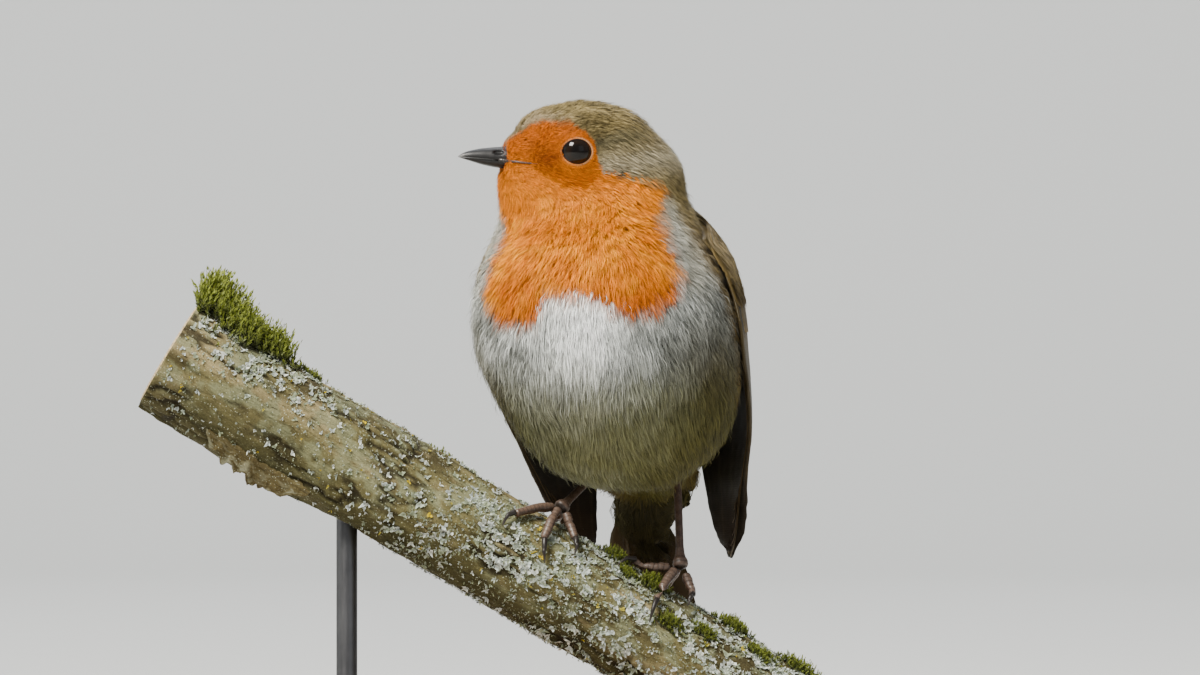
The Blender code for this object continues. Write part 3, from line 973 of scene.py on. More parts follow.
    def lie(self, points: Array, normals: Array) -> Array:
        """Which way the feathers point.

        Args:
            points: places on the skin, in metres.
            normals: the skin's normals there.

        Returns:
            Unit vectors along the skin.
        """
        places = self.places
        ahead = places.on_head(points)[0]
        round_, _, height = places.on_body(points)
        gape = places.eyes + MM * (11.0 * places.ahead - 1.5 * UP)
        head = unit(points - gape) - 0.75 * places.ahead
        head = head - 0.9 * UP * ramp(2.0, -11.0, ahead)[:, None]
        outward = np.stack([np.cos(np.radians(round_)), np.sin(np.radians(round_))], axis=-1)
        aside = np.sign(round_)[:, None] * np.stack(
            [outward[:, 0], outward[:, 1], np.zeros(len(points))], axis=-1)
        spread = 0.34 * ramp(8.0, 40.0, np.abs(round_)) * ramp(150.0, 110.0, np.abs(round_))
        body = -UP + spread[:, None] * aside
        body = body + 0.9 * BACKWARD * ramp(97.0, 82.0, height)[:, None]
        flow = blend(unit(head), unit(body), ramp(141.0, 130.0, height))
        swirls = [self.swirl.at(points / MM + shift, 5.0) for shift in (0.0, 40.0, 80.0)]
        near = np.where((points @ places.left > places.eyes @ places.left)[:, None],
                        places.eye_left, places.eye_right)
        round_eye = 1.3 * ramp(5.0, 3.2, self.eye_distance(points))
        flow = unit(flow) + 0.30 * np.stack(swirls, axis=-1) + round_eye[:, None] * unit(points - near)
        flow = flow - normals * np.sum(flow * normals, axis=-1, keepdims=True)
        return unit(flow)


@dataclass
class Skin:
    """One skin over head, neck, trunk and thighs, inside the coat's outline."""

    plumage: Plumage
    nodes: Sequence[str] = ("head", "neck", "trunk", "thigh_left", "thigh_right")
    voxel: float = 0.75 * MM
    swell: float = 0.30 * MM

    def build(self, finish: Material) -> Object:
        """Makes the skin in the plumage's finish, with its tint.

        Args:
            finish: the plumage's material.

        Returns:
            The skin, with its tint.
        """
        skin = copy_nodes("skin", self.nodes, self.swell)
        remesh = skin.modifiers.new("one_skin", "REMESH")
        remesh.mode = "VOXEL"
        remesh.voxel_size = self.voxel
        apply_all(skin)
        mesh = skin.data
        points = neighbour_mean(mesh, read_points(mesh), 14)
        write_points(mesh, points)
        depth = self.plumage.depth(points) + self.swell - self.plumage.fullness(points)
        for _ in range(3):
            points = points - read_normals(mesh) * depth[:, None] / 3.0
            points = neighbour_mean(mesh, points, 3)
            write_points(mesh, points)
        points = points + self.plumage.muzzle_push(points)
        points = self.plumage.raise_sockets(neighbour_mean(mesh, points, 2))
        write_points(mesh, points)
        shade_smooth(mesh)
        # The skin is painted darker than the coat: painted shade in the gaps between the tufts.
        paint(mesh, 0.72 * self.plumage.colour(points))
        cover(skin, finish)
        return skin


# ---------------------------------------------------------------- tufts of barbs
@dataclass
class TuftSet:
    """Tufts before they are made meshes: a spine of places, normals and sides for each."""

    spines: Array
    normals: Array
    sides: Array
    lengths: Array
    widths: Array
    lifts: Array
    tints: Array
    unders: Array

    def pick(self, chosen: Array) -> "TuftSet":
        """The tufts of a mask or of row numbers."""
        return TuftSet(*(getattr(self, name)[chosen] for name in self.__dataclass_fields__))


@dataclass
class TuftMaker:
    """Turns spines into fans of thin tapering barbs, with one patch of the bake's map each."""

    seed: int
    barbs: int = 12
    steps: int = 3
    barb_width: float = 0.032       # of the tuft's length
    tip_pinch: float = 0.22
    roll: float = 0.35
    shade_spread: float = 0.26
    calm: float = 0.42              # how far shading follows the skin instead of each barb
    stray_share: float = 0.04
    patch: float = 0.003            # width of a tuft's place on the bake's map

    def along(self, rows: Array, share: Array) -> Array:
        """Interpolates each tuft's spine values at shares of its length.

        Args:
            rows: spine values, by tuft, node and axis.
            share: places along the spine, by tuft, barb and step, from 0 to 1.

        Returns:
            The values, by tuft, barb, step and axis.
        """
        last = rows.shape[1] - 1
        place = np.clip(share, 0.0, 1.0) * last
        low = np.minimum(np.floor(place).astype(int), last - 1)
        part = (place - low)[..., None]
        tuft = np.arange(len(rows))[:, None, None]
        return rows[tuft, low] * (1.0 - part) + rows[tuft, low + 1] * part

    def build(self, name: str, tufts: TuftSet, finish: Material) -> Object:
        """Makes one piece from tufts.

        Args:
            name: the piece's name.
            tufts: the tufts.
            finish: the plumage's material.

        Returns:
            The piece.
        """
        rng = np.random.default_rng(self.seed)
        count, barbs, steps = len(tufts.spines), self.barbs, self.steps
        # Barbs side by side, the outer ones shorter, each in steps along the tuft's spine.
        across = np.linspace(-1.0, 1.0, barbs) + rng.uniform(-0.6, 0.6, (count, barbs)) / barbs
        reach = (1.0 - 0.36 * across ** 2) * rng.uniform(0.78, 1.06, (count, barbs))
        along = np.linspace(0.0, 1.0, steps + 1)
        share = reach[:, :, None] * along
        place = self.along(tufts.spines, share)
        normal = unit(self.along(tufts.normals, share))
        side = unit(self.along(tufts.sides, share))
        # They fan out from the root and close a little toward the tip; a few stand up.
        fan = (0.16 + 0.84 * ramp(0.0, 0.55, along)) * (1.0 - self.tip_pinch * along ** 2)
        bend = rng.normal(0.0, 0.10, (count, barbs, 1)) * along ** 2
        offset = tufts.widths[:, None, None] * (across[:, :, None] * fan + bend)
        rise = tufts.lifts[:, None] * rng.uniform(0.75, 1.12, (count, barbs))
        stray = rng.random((count, barbs)) < self.stray_share
        rise = rise + np.where(stray, 0.35, 0.0) * tufts.lifts[:, None]
        height = rise[:, :, None] * (1.0 - (1.0 - along) ** 2.3) - 0.15 * MM
        place = place + side * offset[..., None] + normal * height[..., None]
        # Ribbons that taper to a point, each rolled its own way.
        turn = rng.normal(0.0, self.roll, (count, barbs, 1, 1))
        flat = side * np.cos(turn) + normal * np.sin(turn)
        shape = np.array([0.75, 1.0, 0.85, 0.6, 0.5])[:steps]
        wide = self.barb_width * tufts.lengths[:, None, None] * rng.uniform(0.7, 1.25, (count, barbs, 1))
        wide = (wide * shape)[..., None] / 2
        body = place[:, :, :steps]
        rims = np.stack([body - flat[:, :, :steps] * wide, body + flat[:, :, :steps] * wide], axis=3)
        points = np.concatenate([rims.reshape(count, barbs, 2 * steps, 3), place[:, :, steps:]], axis=2)
        start = (np.arange(count * barbs) * (2 * steps + 1))[:, None]
        quads = np.concatenate([start + 2 * step + (0, 2, 3, 1) for step in range(steps - 1)])
        tips = start + 2 * steps + (-2, 0, -1)
        obj = mesh_object(name, points.reshape(-1, 3), [quads, tips], finish)
        # The light falls on them more as it does on the skin below than on each ribbon.
        rim_normals = np.repeat(normal[:, :, :steps], 2, axis=2)
        facing = np.concatenate([rim_normals, normal[:, :, steps:]], axis=2)
        own = read_normals(obj.data)
        soft = unit(own + (facing.reshape(-1, 3) - own) * self.calm)
        obj.data.normals_split_custom_set_from_vertices(soft.tolist())
        # Dark at the root, and each barb a little lighter or darker than the next.
        level = np.append(np.repeat(along[:steps], 2), 1.0)
        under = ramp(0.62, 0.05, level)[None, None, :, None]
        shade = 1.0 + self.shade_spread * rng.standard_normal((count, barbs, 1, 1))
        shade = np.clip(shade, 0.45, 1.4) * (0.92 + 0.16 * level[None, None, :, None])
        tint = tufts.tints[:, None, None, :] * shade * (1.0 - under)
        tint = tint + tufts.unders[:, None, None, :] * under
        paint(obj.data, tint)
        self.lay_map(obj.data, tufts, across, level)
        return obj

    def lay_map(self, mesh: Mesh, tufts: TuftSet, across: Array, level: Array) -> None:
        """Lays the bake's map: each tuft a small patch at its root's place on the skin unrolled.

        Args:
            mesh: the tufts' mesh.
            tufts: the tufts.
            across: each barb's place across its tuft, from -1 to 1.
            level: each barb vertex's share of the barb's length.
        """
        roots = tufts.spines[:, 0]
        middle = roots.mean(axis=0)
        facing = unit(tufts.normals[:, 0].mean(axis=0))
        first = unit(np.cross(facing, UP if abs(facing[2]) < 0.9 else np.array((1.0, 0.0, 0.0))))
        second = np.cross(facing, first)
        offset = roots - middle
        flat = np.stack([offset @ first, offset @ second], axis=-1)
        flat = unit(flat) * np.linalg.norm(offset, axis=-1, keepdims=True)
        low, high = flat.min(axis=0), flat.max(axis=0)
        base = 0.01 + 0.975 * (flat - low) / np.maximum(high - low, 1e-9)
        patch = np.empty((len(roots), across.shape[1], len(level), 2))
        rim = np.where(np.arange(len(level)) % 2, 0.09, -0.09)
        patch[..., 0] = (across[:, :, None] * 0.4 + rim) * self.patch
        patch[..., 1] = (level - 0.5) * self.patch
        places = (base[:, None, None, :] + patch).reshape(-1, 2)
        loops = np.empty(len(mesh.loops), np.int32)
        mesh.loops.foreach_get("vertex_index", loops)
        layer = mesh.uv_layers.new(name="OFBake")
        layer.data.foreach_set("uv", places[loops].astype(np.float32).ravel())


@dataclass
class Coat:
    """All contour feathers: roots scattered over the skin and combed along the lie."""

    plumage: Plumage
    skin: Object
    seed: int = 5
    spacing: float = 0.265          # of the feather's length, before thinning
    tries: float = 3.2              # roots tried for each one wanted
    nodes_along: int = 4
    eye_gap: float = 2.92           # millimetres kept bare round the eye's middle
    bill_gap: float = 0.45 * MM
    wing_gap: float = 3.6 * MM      # under a wing this close no feathers grow
    # Pieces, each by its middle: degrees round the body, height above the floor in millimetres.
    regions: dict[str, tuple[float, float]] = field(default_factory=lambda: {
        "forehead": (-30, 151), "crown": (90, 152), "cheek_left": (20, 143),
        "cheek_right": (-100, 143), "nape": (150, 141), "throat": (-10, 133),
        "neck_left": (75, 131), "neck_right": (-75, 131), "breast_left": (28, 120),
        "breast_right": (-28, 120), "belly_left": (20, 101), "belly_right": (-20, 101),
        "flank_left": (70, 104), "flank_right": (-70, 104), "back": (180, 118),
        "rump": (180, 92), "vent_left": (70, 82), "vent_right": (-70, 82)})

    def __post_init__(self) -> None:
        """Reads the skin once and keeps what the scattering and the combing need."""
        mesh = self.skin.data
        self.points = read_points(mesh)
        self.point_normals = read_normals(mesh)
        mesh.calc_loop_triangles()
        corners = np.empty(len(mesh.loop_triangles) * 3, np.int64)
        mesh.loop_triangles.foreach_get("vertices", corners)
        self.triangles = corners.reshape(-1, 3)
        self.tree = BVHTree.FromPolygons(self.points.tolist(), self.triangles.tolist())
        self.face_normals = unit(self.point_normals[self.triangles].mean(axis=1))

    def scatter(self) -> tuple[Array, Array]:
        """Scatters roots as densely as the feathers' length asks, with the skin's normals there.

        Returns:
            The roots and the skin's normals there.
        """
        rng = np.random.default_rng(self.seed)
        corner = self.points[self.triangles]
        first, second = corner[:, 1] - corner[:, 0], corner[:, 2] - corner[:, 0]
        area = np.linalg.norm(np.cross(first, second), axis=1) / 2
        gap = self.spacing * self.plumage.length(corner.mean(axis=1)) ** 0.8 * MM ** 0.2
        wanted = area / gap ** 2
        count = int(self.tries * wanted.sum())
        chosen = rng.choice(len(area), count, p=wanted / wanted.sum())
        first, second = rng.random(count), rng.random(count)
        fold = first + second > 1.0
        first[fold], second[fold] = 1.0 - first[fold], 1.0 - second[fold]
        share = np.stack([1.0 - first - second, first, second], axis=-1)[..., None]
        roots = (corner[chosen] * share).sum(axis=1)
        normals = unit((self.point_normals[self.triangles[chosen]] * share).sum(axis=1))
        # One root is kept in each cell of a grid as fine as the feathers there ask.
        step = 0.14
        level = np.round(np.log(gap[chosen] / MM) / step)
        size = np.exp(level * step) * MM
        cell = np.column_stack([level, np.floor(roots / size[:, None])]).astype(np.int64)
        _, kept = np.unique(cell, axis=0, return_index=True)
        kept = np.sort(kept)
        return roots[kept], normals[kept]

    def clear_of(self, roots: Array, normals: Array) -> Array:
        """Tells which roots are clear of the eyes, the bill and the folded wings.

        Args:
            roots: where the feathers start, in metres.
            normals: the skin's normals there.

        Returns:
            True for each root that is clear.
        """
        open_ = self.plumage.eye_distance(roots) > self.eye_gap
        bills = [faces_of("bill_upper"), faces_of("bill_lower")]
        wings = [faces_of("wing_left"), faces_of("wing_right")]
        for row in np.flatnonzero(open_):
            root, normal = Vector(roots[row]), Vector(normals[row])
            near = [bill.find_nearest(root, self.bill_gap)[0] for bill in bills]
            over = [wing.ray_cast(root + normal * 0.1 * MM, normal, self.wing_gap)[0] for wing in wings]
            open_[row] = all(hit is None for hit in near + over)
        return open_

    def comb(self, roots: Array, normals: Array, lengths: Array) -> tuple[Array, Array, Array]:
        """Walks each feather's spine along the skin.

        Args:
            roots: where the feathers start.
            normals: the skin's normals there.
            lengths: the feathers' lengths.

        Returns:
            Places, normals and sideways directions at the nodes of each spine.
        """
        spines, facings, sides = [roots], [normals], []
        place, normal = roots, normals
        for _ in range(self.nodes_along):
            heading = self.plumage.lie(place, normal)
            sides.append(np.cross(normal, heading))
            target = place + heading * lengths[:, None] / self.nodes_along
            found = [self.tree.find_nearest(spot) for spot in target.tolist()]
            place = np.array([hit[0] for hit in found])
            normal = self.face_normals[[hit[2] for hit in found]]
            spines.append(place)
            facings.append(normal)
        sides.append(np.cross(normal, self.plumage.lie(place, normal)))
        return np.stack(spines, 1), np.stack(facings, 1), np.stack(sides, 1)

    def tufts(self) -> TuftSet:
        """Makes all the tufts, not yet divided into pieces.

        Returns:
            The tufts.
        """
        roots, normals = self.scatter()
        clear = self.clear_of(roots, normals)
        roots, normals = roots[clear], normals[clear]
        rng = np.random.default_rng(self.seed + 1)
        lengths = self.plumage.length(roots) * rng.uniform(0.85, 1.15, len(roots))
        spines, facings, sides = self.comb(roots, normals, lengths)
        seen = spines[:, 3]
        tints = self.plumage.colour(seen)
        tints = tints * np.clip(1.0 + 0.09 * rng.standard_normal((len(roots), 1)), 0.7, 1.3)
        orange = self.plumage.orange_share(seen)
        unders = blend(self.plumage.pigments.under, 0.55 * tints, 0.35 + 0.5 * orange)
        widths = lengths * rng.uniform(0.27, 0.38, len(roots))
        lifts = (self.plumage.depth(roots) + 0.25 * MM) * rng.uniform(0.7, 1.05, len(roots))
        return TuftSet(spines, facings, sides, lengths, widths, lifts, tints, unders)

    def region_of(self, roots: Array) -> Array:
        """The number of the piece that each root belongs to.

        Args:
            roots: where the feathers start, in metres.

        Returns:
            One number for each root.
        """
        round_, _, height = self.plumage.places.on_body(roots)
        best = []
        for angle, middle in self.regions.values():
            turn = np.radians(round_ - angle)
            best.append(2 * (1 - np.cos(turn)) * 18.0 ** 2 + (height - middle) ** 2)
        return np.argmin(np.stack(best), axis=0)

    def build(self, finish: Material) -> list[Object]:
        """Makes the coat's pieces in the plumage's finish.

        Args:
            finish: the plumage's material.

        Returns:
            The pieces.
        """
        tufts = self.tufts()
        region = self.region_of(tufts.spines[:, 0])
        pieces = []
        for number, name in enumerate(self.regions):
            part = tufts.pick(region == number)
            barbs, steps, width = (13, 2, 0.045) if part.lengths.mean() < 2.6 * MM else (21, 3, 0.021)
            maker = TuftMaker(self.seed + 10 + number, barbs, steps, width)
            pieces.append(maker.build("feathers_" + name, part, finish))
        return pieces


# ---------------------------------------------------------------- flight feathers
@dataclass(frozen=True)
class VaneFinish(Finish):
    """Stiff feather: barbs slanting from the shaft, finely ridged."""

    pitch: float = 0.34             # millimetres between ridges
    slant: float = 0.9

    def lay(self, shader: Shader) -> Material:
        """Lays the nodes.

        Args:
            shader: the material's nodes.

        Returns:
            The finished material.
        """
        vane = shader.node("Attribute", {"attribute_name": "vane"}, output="Vector")
        across = shader.node("SeparateXYZ", output="X", Vector=vane)
        along = shader.node("SeparateXYZ", output="Y", Vector=vane)
        spread = shader.math("ABSOLUTE", across)
        wander = shader.noise(shader.where(), 0.8, 2.0)
        phase = (along - self.slant * spread + 0.5 * wander) * (2 * math.pi / self.pitch)
        ridge = shader.math("SINE", phase) * 0.5 + 0.5
        fleck = shader.noise(shader.where(), 2.5, 3.0)
        level = 0.80 + 0.22 * ridge + 0.30 * (fleck - 0.5)
        shaft = shader.step(0.22, 0.08, spread)
        colour = shader.mix(shaft * 0.45, shader.tinted(level), (0.03, 0.022, 0.014))
        height = ridge * 0.4 + shaft
        return shader.finish(colour, 0.42 + 0.2 * fleck, height, 0.05, Sheen_Weight=0.03,
                             Sheen_Roughness=0.4, Specular_IOR_Level=0.22)


class Web(Enum):
    """How a feather's two webs share its width: outer and inner."""

    EVEN = (1.0, 1.0)
    NARROW_OUTER = (0.42, 1.35)
    BROAD_INNER = (0.8, 1.15)


@dataclass
class Row:
    """Feathers side by side; each pair gives the first and the last one's value.

    Places are shares across the wing from its front edge, and heights in millimetres.
    """

    count: int
    root_across: tuple[float, float]
    root_height: tuple[float, float]
    tip_across: tuple[float, float]
    tip_height: tuple[float, float]
    half_width: float
    layer: tuple[float, float]
    tint: Tint
    edge: Tint
    tip: Tint
    web: Web = Web.EVEN
    blunt: float = 0.25             # share of the length that the round tip takes
    loose: float = 0.0


@dataclass
class VaneMaker:
    """Builds rows of stiff feathers from their shafts."""

    seed: int
    along: int = 20
    across: int = 6
    thickness: float = 0.07 * MM

    def __post_init__(self) -> None:
        """Starts with no feathers."""
        self.rng = np.random.default_rng(self.seed)
        self.points: list[Array] = []
        self.tints: list[Array] = []
        self.vanes: list[Array] = []

    def add(self, shaft: Array, normals: Array, row: Row, outer_sign: float, share: float) -> None:
        """Adds one feather.

        Args:
            shaft: places along the shaft, one for each station.
            normals: the outward direction at each.
            row: the row that it belongs to.
            outer_sign: which side the outer web is on.
            share: its place in the row, from 0 to 1.
        """
        rng = self.rng
        t = np.linspace(0.0, 1.0, self.along)
        heading = unit(np.gradient(shaft, axis=0))
        side = unit(np.cross(normals, heading)) * outer_sign
        shape = 0.32 + 0.68 * ramp(0.0, 0.3, t)
        end = np.clip((t - (1.0 - row.blunt)) / row.blunt, 0.0, 1.0)
        shape = shape * np.sqrt(np.maximum(1.0 - end ** 2.2, 0.0))
        c = np.linspace(-1.0, 1.0, self.across + 1)
        outer, inner = row.web.value
        reach = np.where(c < 0, inner, outer) * c * row.half_width * MM
        ragged = 1.0 + 0.05 * rng.standard_normal((self.along, 1)) * np.abs(c)[None, :] ** 2
        lateral = reach[None, :] * shape[:, None] * ragged
        slide = 0.45 * np.abs(lateral)
        layer = row.layer[0] + (row.layer[1] - row.layer[0]) * share
        lift = layer * MM - 0.20 * np.abs(c)[None, :] ** 2 * row.half_width * MM * 0.55
        lift = lift + row.loose * MM * t[:, None] ** 2 * rng.uniform(0.2, 1.0)
        slide = slide * (t[:, None] < 0.985)
        points = shaft[:, None] + side[:, None] * lateral[..., None] + normals[:, None] * lift[..., None]
        points = points + heading[:, None] * slide[..., None] * 0.4
        rim = ramp(0.62, 0.95, c)[None, :] * ramp(0.05, 0.3, t)[:, None]
        both = ramp(0.80, 1.0, np.abs(c))[None, :] * np.ones((self.along, 1))
        tip = ramp(1.0 - 0.6 * row.blunt, 1.0, t)[:, None] * np.ones_like(c)[None, :]
        by_shaft = ramp(0.45, 0.0, np.abs(c))[None, :] * np.ones((self.along, 1))
        tint = blend(row.tint, 0.62 * np.array(row.tint), by_shaft)
        tint = blend(tint, row.edge, np.clip(0.9 * rim + 0.35 * both, 0, 1))
        tint = blend(tint, row.tip, 0.8 * tip)
        tint = tint * rng.uniform(0.86, 1.14)
        length = distances(shaft) / MM
        vane = np.zeros((self.along, self.across + 1, 3))
        vane[..., 0] = lateral / MM
        vane[..., 1] = length[:, None]
        self.points.append(points)
        self.tints.append(tint)
        self.vanes.append(vane)

    def build(self, name: str, finish: Material) -> Object:
        """Makes one piece of all the feathers added, with a thickness.

        Args:
            name: the piece's name.
            finish: the vanes' material.

        Returns:
            The piece.
        """
        points = np.stack(self.points)
        count, rows, columns = points.shape[:3]
        quads = grid_faces(rows, columns, ring=False)[:, [0, 3, 2, 1]]
        quads = np.arange(count)[:, None, None] * rows * columns + quads
        obj = mesh_object(name, points.reshape(-1, 3), [quads.reshape(-1, 4)], finish)
        paint(obj.data, np.stack(self.tints))
        note_vane(obj.data, np.stack(self.vanes))
        thicken(obj, self.thickness)
        return obj


@dataclass
class Wing:
    """A folded wing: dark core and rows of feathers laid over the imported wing's outer face."""

    side_name: str
    sign: float
    places: Places
    axis_back: float = 2.0 * MM
    core_inset: float = 0.12 * MM
    core_dark: Tint = (0.013, 0.011, 0.007)
    core_brown: Tint = (0.075, 0.052, 0.016)
    core_edge: Tint = (0.060, 0.044, 0.020)
    scapular: Tint = (0.095, 0.064, 0.018)
    scapular_gold: Tint = (0.20, 0.145, 0.052)
    scapular_pale: Tint = (0.34, 0.265, 0.145)

    def __post_init__(self) -> None:
        """Finds the wing's front and rear edges, by angle at each height."""
        self.node = "wing_" + self.side_name
        self.tree = faces_of(self.node)
        low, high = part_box(self.node)
        self.heights = np.linspace(low[2] + 0.3 * MM, high[2] - 0.3 * MM, 60)
        fronts, rears, kept = [], [], []
        for height in self.heights:
            angles = np.arange(-45.0, 140.0, 1.0)
            hits = [angle for angle in angles if self.cast(angle, height)[0] is not None]
            if hits:
                fronts.append(hits[0])
                rears.append(hits[-1])
                kept.append(height)
        self.heights, self.fronts, self.rears = np.array(kept), np.array(fronts), np.array(rears)

    def outward(self, angle: float) -> Array:
        """The level direction at an angle back from the side.

        Args:
            angle: degrees back from the side.

        Returns:
            A unit direction.
        """
        across = self.sign * math.cos(math.radians(angle))
        back = math.sin(math.radians(angle))
        return across * LEFTWARD + back * BACKWARD

    def cast(self, angle: float, height: float) -> tuple:
        """Looks from outside toward the body's axis and returns the first place met.

        Args:
            angle: degrees back from the side.
            height: height above the floor, in metres.

        Returns:
            The place, its normal, its face and its distance, all None where nothing is met.
        """
        way = self.outward(angle)
        start = np.array((self.places.middle_x, 0.0, height))
        start = start + self.axis_back * BACKWARD
        return self.tree.ray_cast(Vector(start + way * 0.08), Vector(-way))

    def surface(self, across: float, height: float) -> tuple[Array, Array]:
        """A place on the wing's outer face.

        Args:
            across: share of the way from the front edge to the rear edge.
            height: height above the floor, in metres.

        Returns:
            The place and the outward direction.
        """
        height = float(np.clip(height, self.heights[0], self.heights[-1]))
        front = np.interp(height, self.heights, self.fronts)
        rear = np.interp(height, self.heights, self.rears)
        angle = front + (rear - front) * float(np.clip(across, 0.04, 0.96))
        hit = self.cast(angle, height)
        if hit[0] is None:
            middle = self.cast((front + rear) / 2, height)
            hit = middle if middle[0] is not None else (Vector(centre_of(self.node)), None)
        return np.array(hit[0]), self.outward(angle)

    def rows(self) -> list[Row]:
        """The rows, from the lowest layer to the highest.

        Returns:
            The rows of feathers.
        """
        dark, edge, pale = (0.022, 0.017, 0.010), (0.085, 0.056, 0.020), (0.26, 0.22, 0.15)
        olive, gold = (0.080, 0.054, 0.016), (0.155, 0.105, 0.034)
        outer, inner = Web.NARROW_OUTER, Web.BROAD_INNER
        warm = (olive, gold, gold)
        return [
            # the long feathers of the wing's tip, those of its blade and the three innermost
            Row(9, (0.02, 0.42), (109, 106), (0.16, 0.62), (66.8, 83.5), 2.6, (-0.75, -0.35),
                dark, edge, pale, outer, 0.16),
            Row(6, (0.34, 0.78), (110, 110), (0.45, 0.80), (85, 90), 2.9, (-0.35, -0.12),
                dark, edge, edge, inner, 0.18),
            Row(3, (0.70, 0.92), (116, 118), (0.66, 0.92), (86, 95), 3.6, (0.04, 0.20),
                olive, edge, edge, inner, 0.28),
            # the small dark ones at the wing's bend
            Row(6, (0.00, 0.20), (120, 119), (0.04, 0.30), (101, 106), 1.5, (-0.25, -0.10),
                dark, edge, edge),
            Row(3, (0.00, 0.10), (125, 124), (0.02, 0.14), (109, 113), 1.5, (-0.05, 0.05),
                dark, pale, edge),
            # coverts, from the longest up to the shortest
            Row(9, (0.14, 0.92), (117, 119), (0.18, 0.95), (101, 104), 2.6, (0.0, 0.12),
                olive, edge, gold),
            Row(8, (0.08, 0.95), (121, 122), (0.10, 0.97), (110, 111), 2.5, (0.10, 0.20),
                *warm, blunt=0.4, loose=0.15),
            Row(9, (0.05, 0.96), (124, 125), (0.06, 0.98), (115, 115), 2.2, (0.16, 0.24),
                *warm, blunt=0.45, loose=0.2),
            Row(9, (0.06, 0.97), (127, 128), (0.05, 0.99), (119, 119), 2.0, (0.20, 0.28),
                *warm, blunt=0.45, loose=0.2),
            Row(8, (0.10, 0.98), (129, 131), (0.08, 0.99), (122.5, 123), 1.9, (0.24, 0.30),
                *warm, blunt=0.5, loose=0.2),
            # broad ones over the inner feathers' roots
            Row(5, (0.70, 0.95), (124, 122), (0.74, 0.94), (106, 104), 2.8, (0.26, 0.32),
                *warm, blunt=0.55),
            Row(5, (0.66, 0.95), (129, 127), (0.70, 0.94), (115, 112), 2.4, (0.32, 0.38),
                *warm, blunt=0.55),
        ]

    def broaden(self, points: Array) -> tuple[Array, Array]:
        """Broadens the free blade across its width, so that its tip is round.

        Args:
            points: places on the wing's core, in metres.

        Returns:
            The places, and each one's share across the width: 1 at the front edge, -1 at the rear.
        """
        moved, chord = points.copy(), np.zeros(len(points))
        height = points[:, 2] / MM
        for level in np.arange(64.0, 134.0, 1.0):
            near = np.abs(height - level) < 2.0
            here = np.abs(height - level) <= 0.5
            if near.sum() < 6 or not here.any():
                continue
            flat = points[near, :2]
            middle = (flat.min(axis=0) + flat.max(axis=0)) / 2
            axis = np.linalg.svd(flat - flat.mean(axis=0), full_matrices=False)[2][0]
            axis = axis if axis[1] < 0 else -axis
            place = (points[here, :2] - middle) @ axis
            half = np.abs((flat - middle) @ axis).max()
            chord[here] = place / half
            grow = np.interp(level, (66.0, 69.0, 73.0, 80.0, 88.0), (0.75, 0.62, 0.42, 0.16, 0.0))
            moved[here, :2] += grow * place[:, None] * axis
        return moved, np.clip(chord, -1.0, 1.0)

    def scapulars(self, finish: Material) -> Object:
        """Soft brown feathers that run over the wing's upper edge from the back.

        Args:
            finish: the soft plumage's material.

        Returns:
            The tufts' piece.
        """
        rng = np.random.default_rng(36)
        count, steps = 680, 5
        across = rng.uniform(0.02, 0.98, count)
        top = self.heights[-1] / MM + 4.2 - 3.0 * np.abs(across - 0.45)
        start = top - (top - 117.0) * rng.random(count) ** 1.45
        lengths = rng.uniform(4.0, 5.6, count) * MM
        line, facing = np.zeros((count, steps, 3)), np.zeros((count, steps, 3))
        for row in range(count):
            for step in range(steps):
                height = start[row] * MM - lengths[row] * 0.92 * step / (steps - 1)
                over = max(height - self.heights[-1], 0.0)
                place, way = self.surface(across[row], height)
                bulge = 0.25 * MM * math.sin(min(over / MM, 1.0) * math.pi)
                line[row, step] = place + way * (bulge - 0.95 * over) + UP * over
                facing[row, step] = unit(way + UP * min(1.2, 0.45 + over / MM * 0.5))
        side = unit(np.cross(facing, np.gradient(line, axis=1)))
        seen = line[:, 3]
        blotch = Grain(37).at(seen / MM, 2.5, 2)
        high = ramp(115.0, 127.0, seen[:, 2] / MM)
        gold = ramp(-0.2, 0.7, blotch + 0.7 * high)
        tint = blend(self.scapular, self.scapular_gold, gold)
        tint = blend(tint, self.scapular_pale, 0.60 * ramp(0.42, 0.08, across) * high)
        tint = tint * rng.uniform(0.8, 1.2, (count, 1))
        tufts = TuftSet(line, facing, side, lengths, lengths * rng.uniform(0.24, 0.32, count),
                        rng.uniform(0.45, 0.8, count) * MM, tint, 0.4 * tint)
        maker = TuftMaker(38, barbs=20, steps=3, barb_width=0.026)
        return maker.build("scapulars_" + self.side_name, tufts, finish)

    def core(self, finish: Material) -> Object:
        """The dark body of the wing under its feathers, also its underside.

        Args:
            finish: the vanes' material.

        Returns:
            The core.
        """
        core = copy_nodes("wing_core_" + self.side_name, (self.node,), -self.core_inset)
        finer = core.modifiers.new("finer", "SUBSURF")
        finer.subdivision_type = "SIMPLE"
        finer.levels = finer.render_levels = 2
        apply_all(core)
        points, chord = self.broaden(neighbour_mean(core.data, read_points(core.data), 2))
        write_points(core.data, points)
        shade_smooth(core.data)
        cover(core, finish)
        strands = Grain(21).at(points / MM, (1.2, 1.2, 9.0), 2)
        brown = ramp(96.0, 112.0, points[:, 2] / MM)
        tint = blend(self.core_dark, self.core_brown, brown)
        lines = ramp(0.75, 1.0, np.cos(chord * 2 * math.pi * 2.2 + 0.05 * points[:, 2] / MM))
        tint = blend(tint, 2.6 * tint, 0.5 * lines * (1.0 - brown))
        front = 0.8 * ramp(0.62, 0.95, chord) * (1.0 - 0.7 * brown)
        tint = blend(tint, self.core_edge, front)
        tint = tint * (1.0 + 0.35 * strands[:, None])
        paint(core.data, tint)
        flat = np.zeros(len(points))
        note_vane(core.data, np.column_stack([flat + 3.0, points[:, 2] / MM, flat]))
        return core

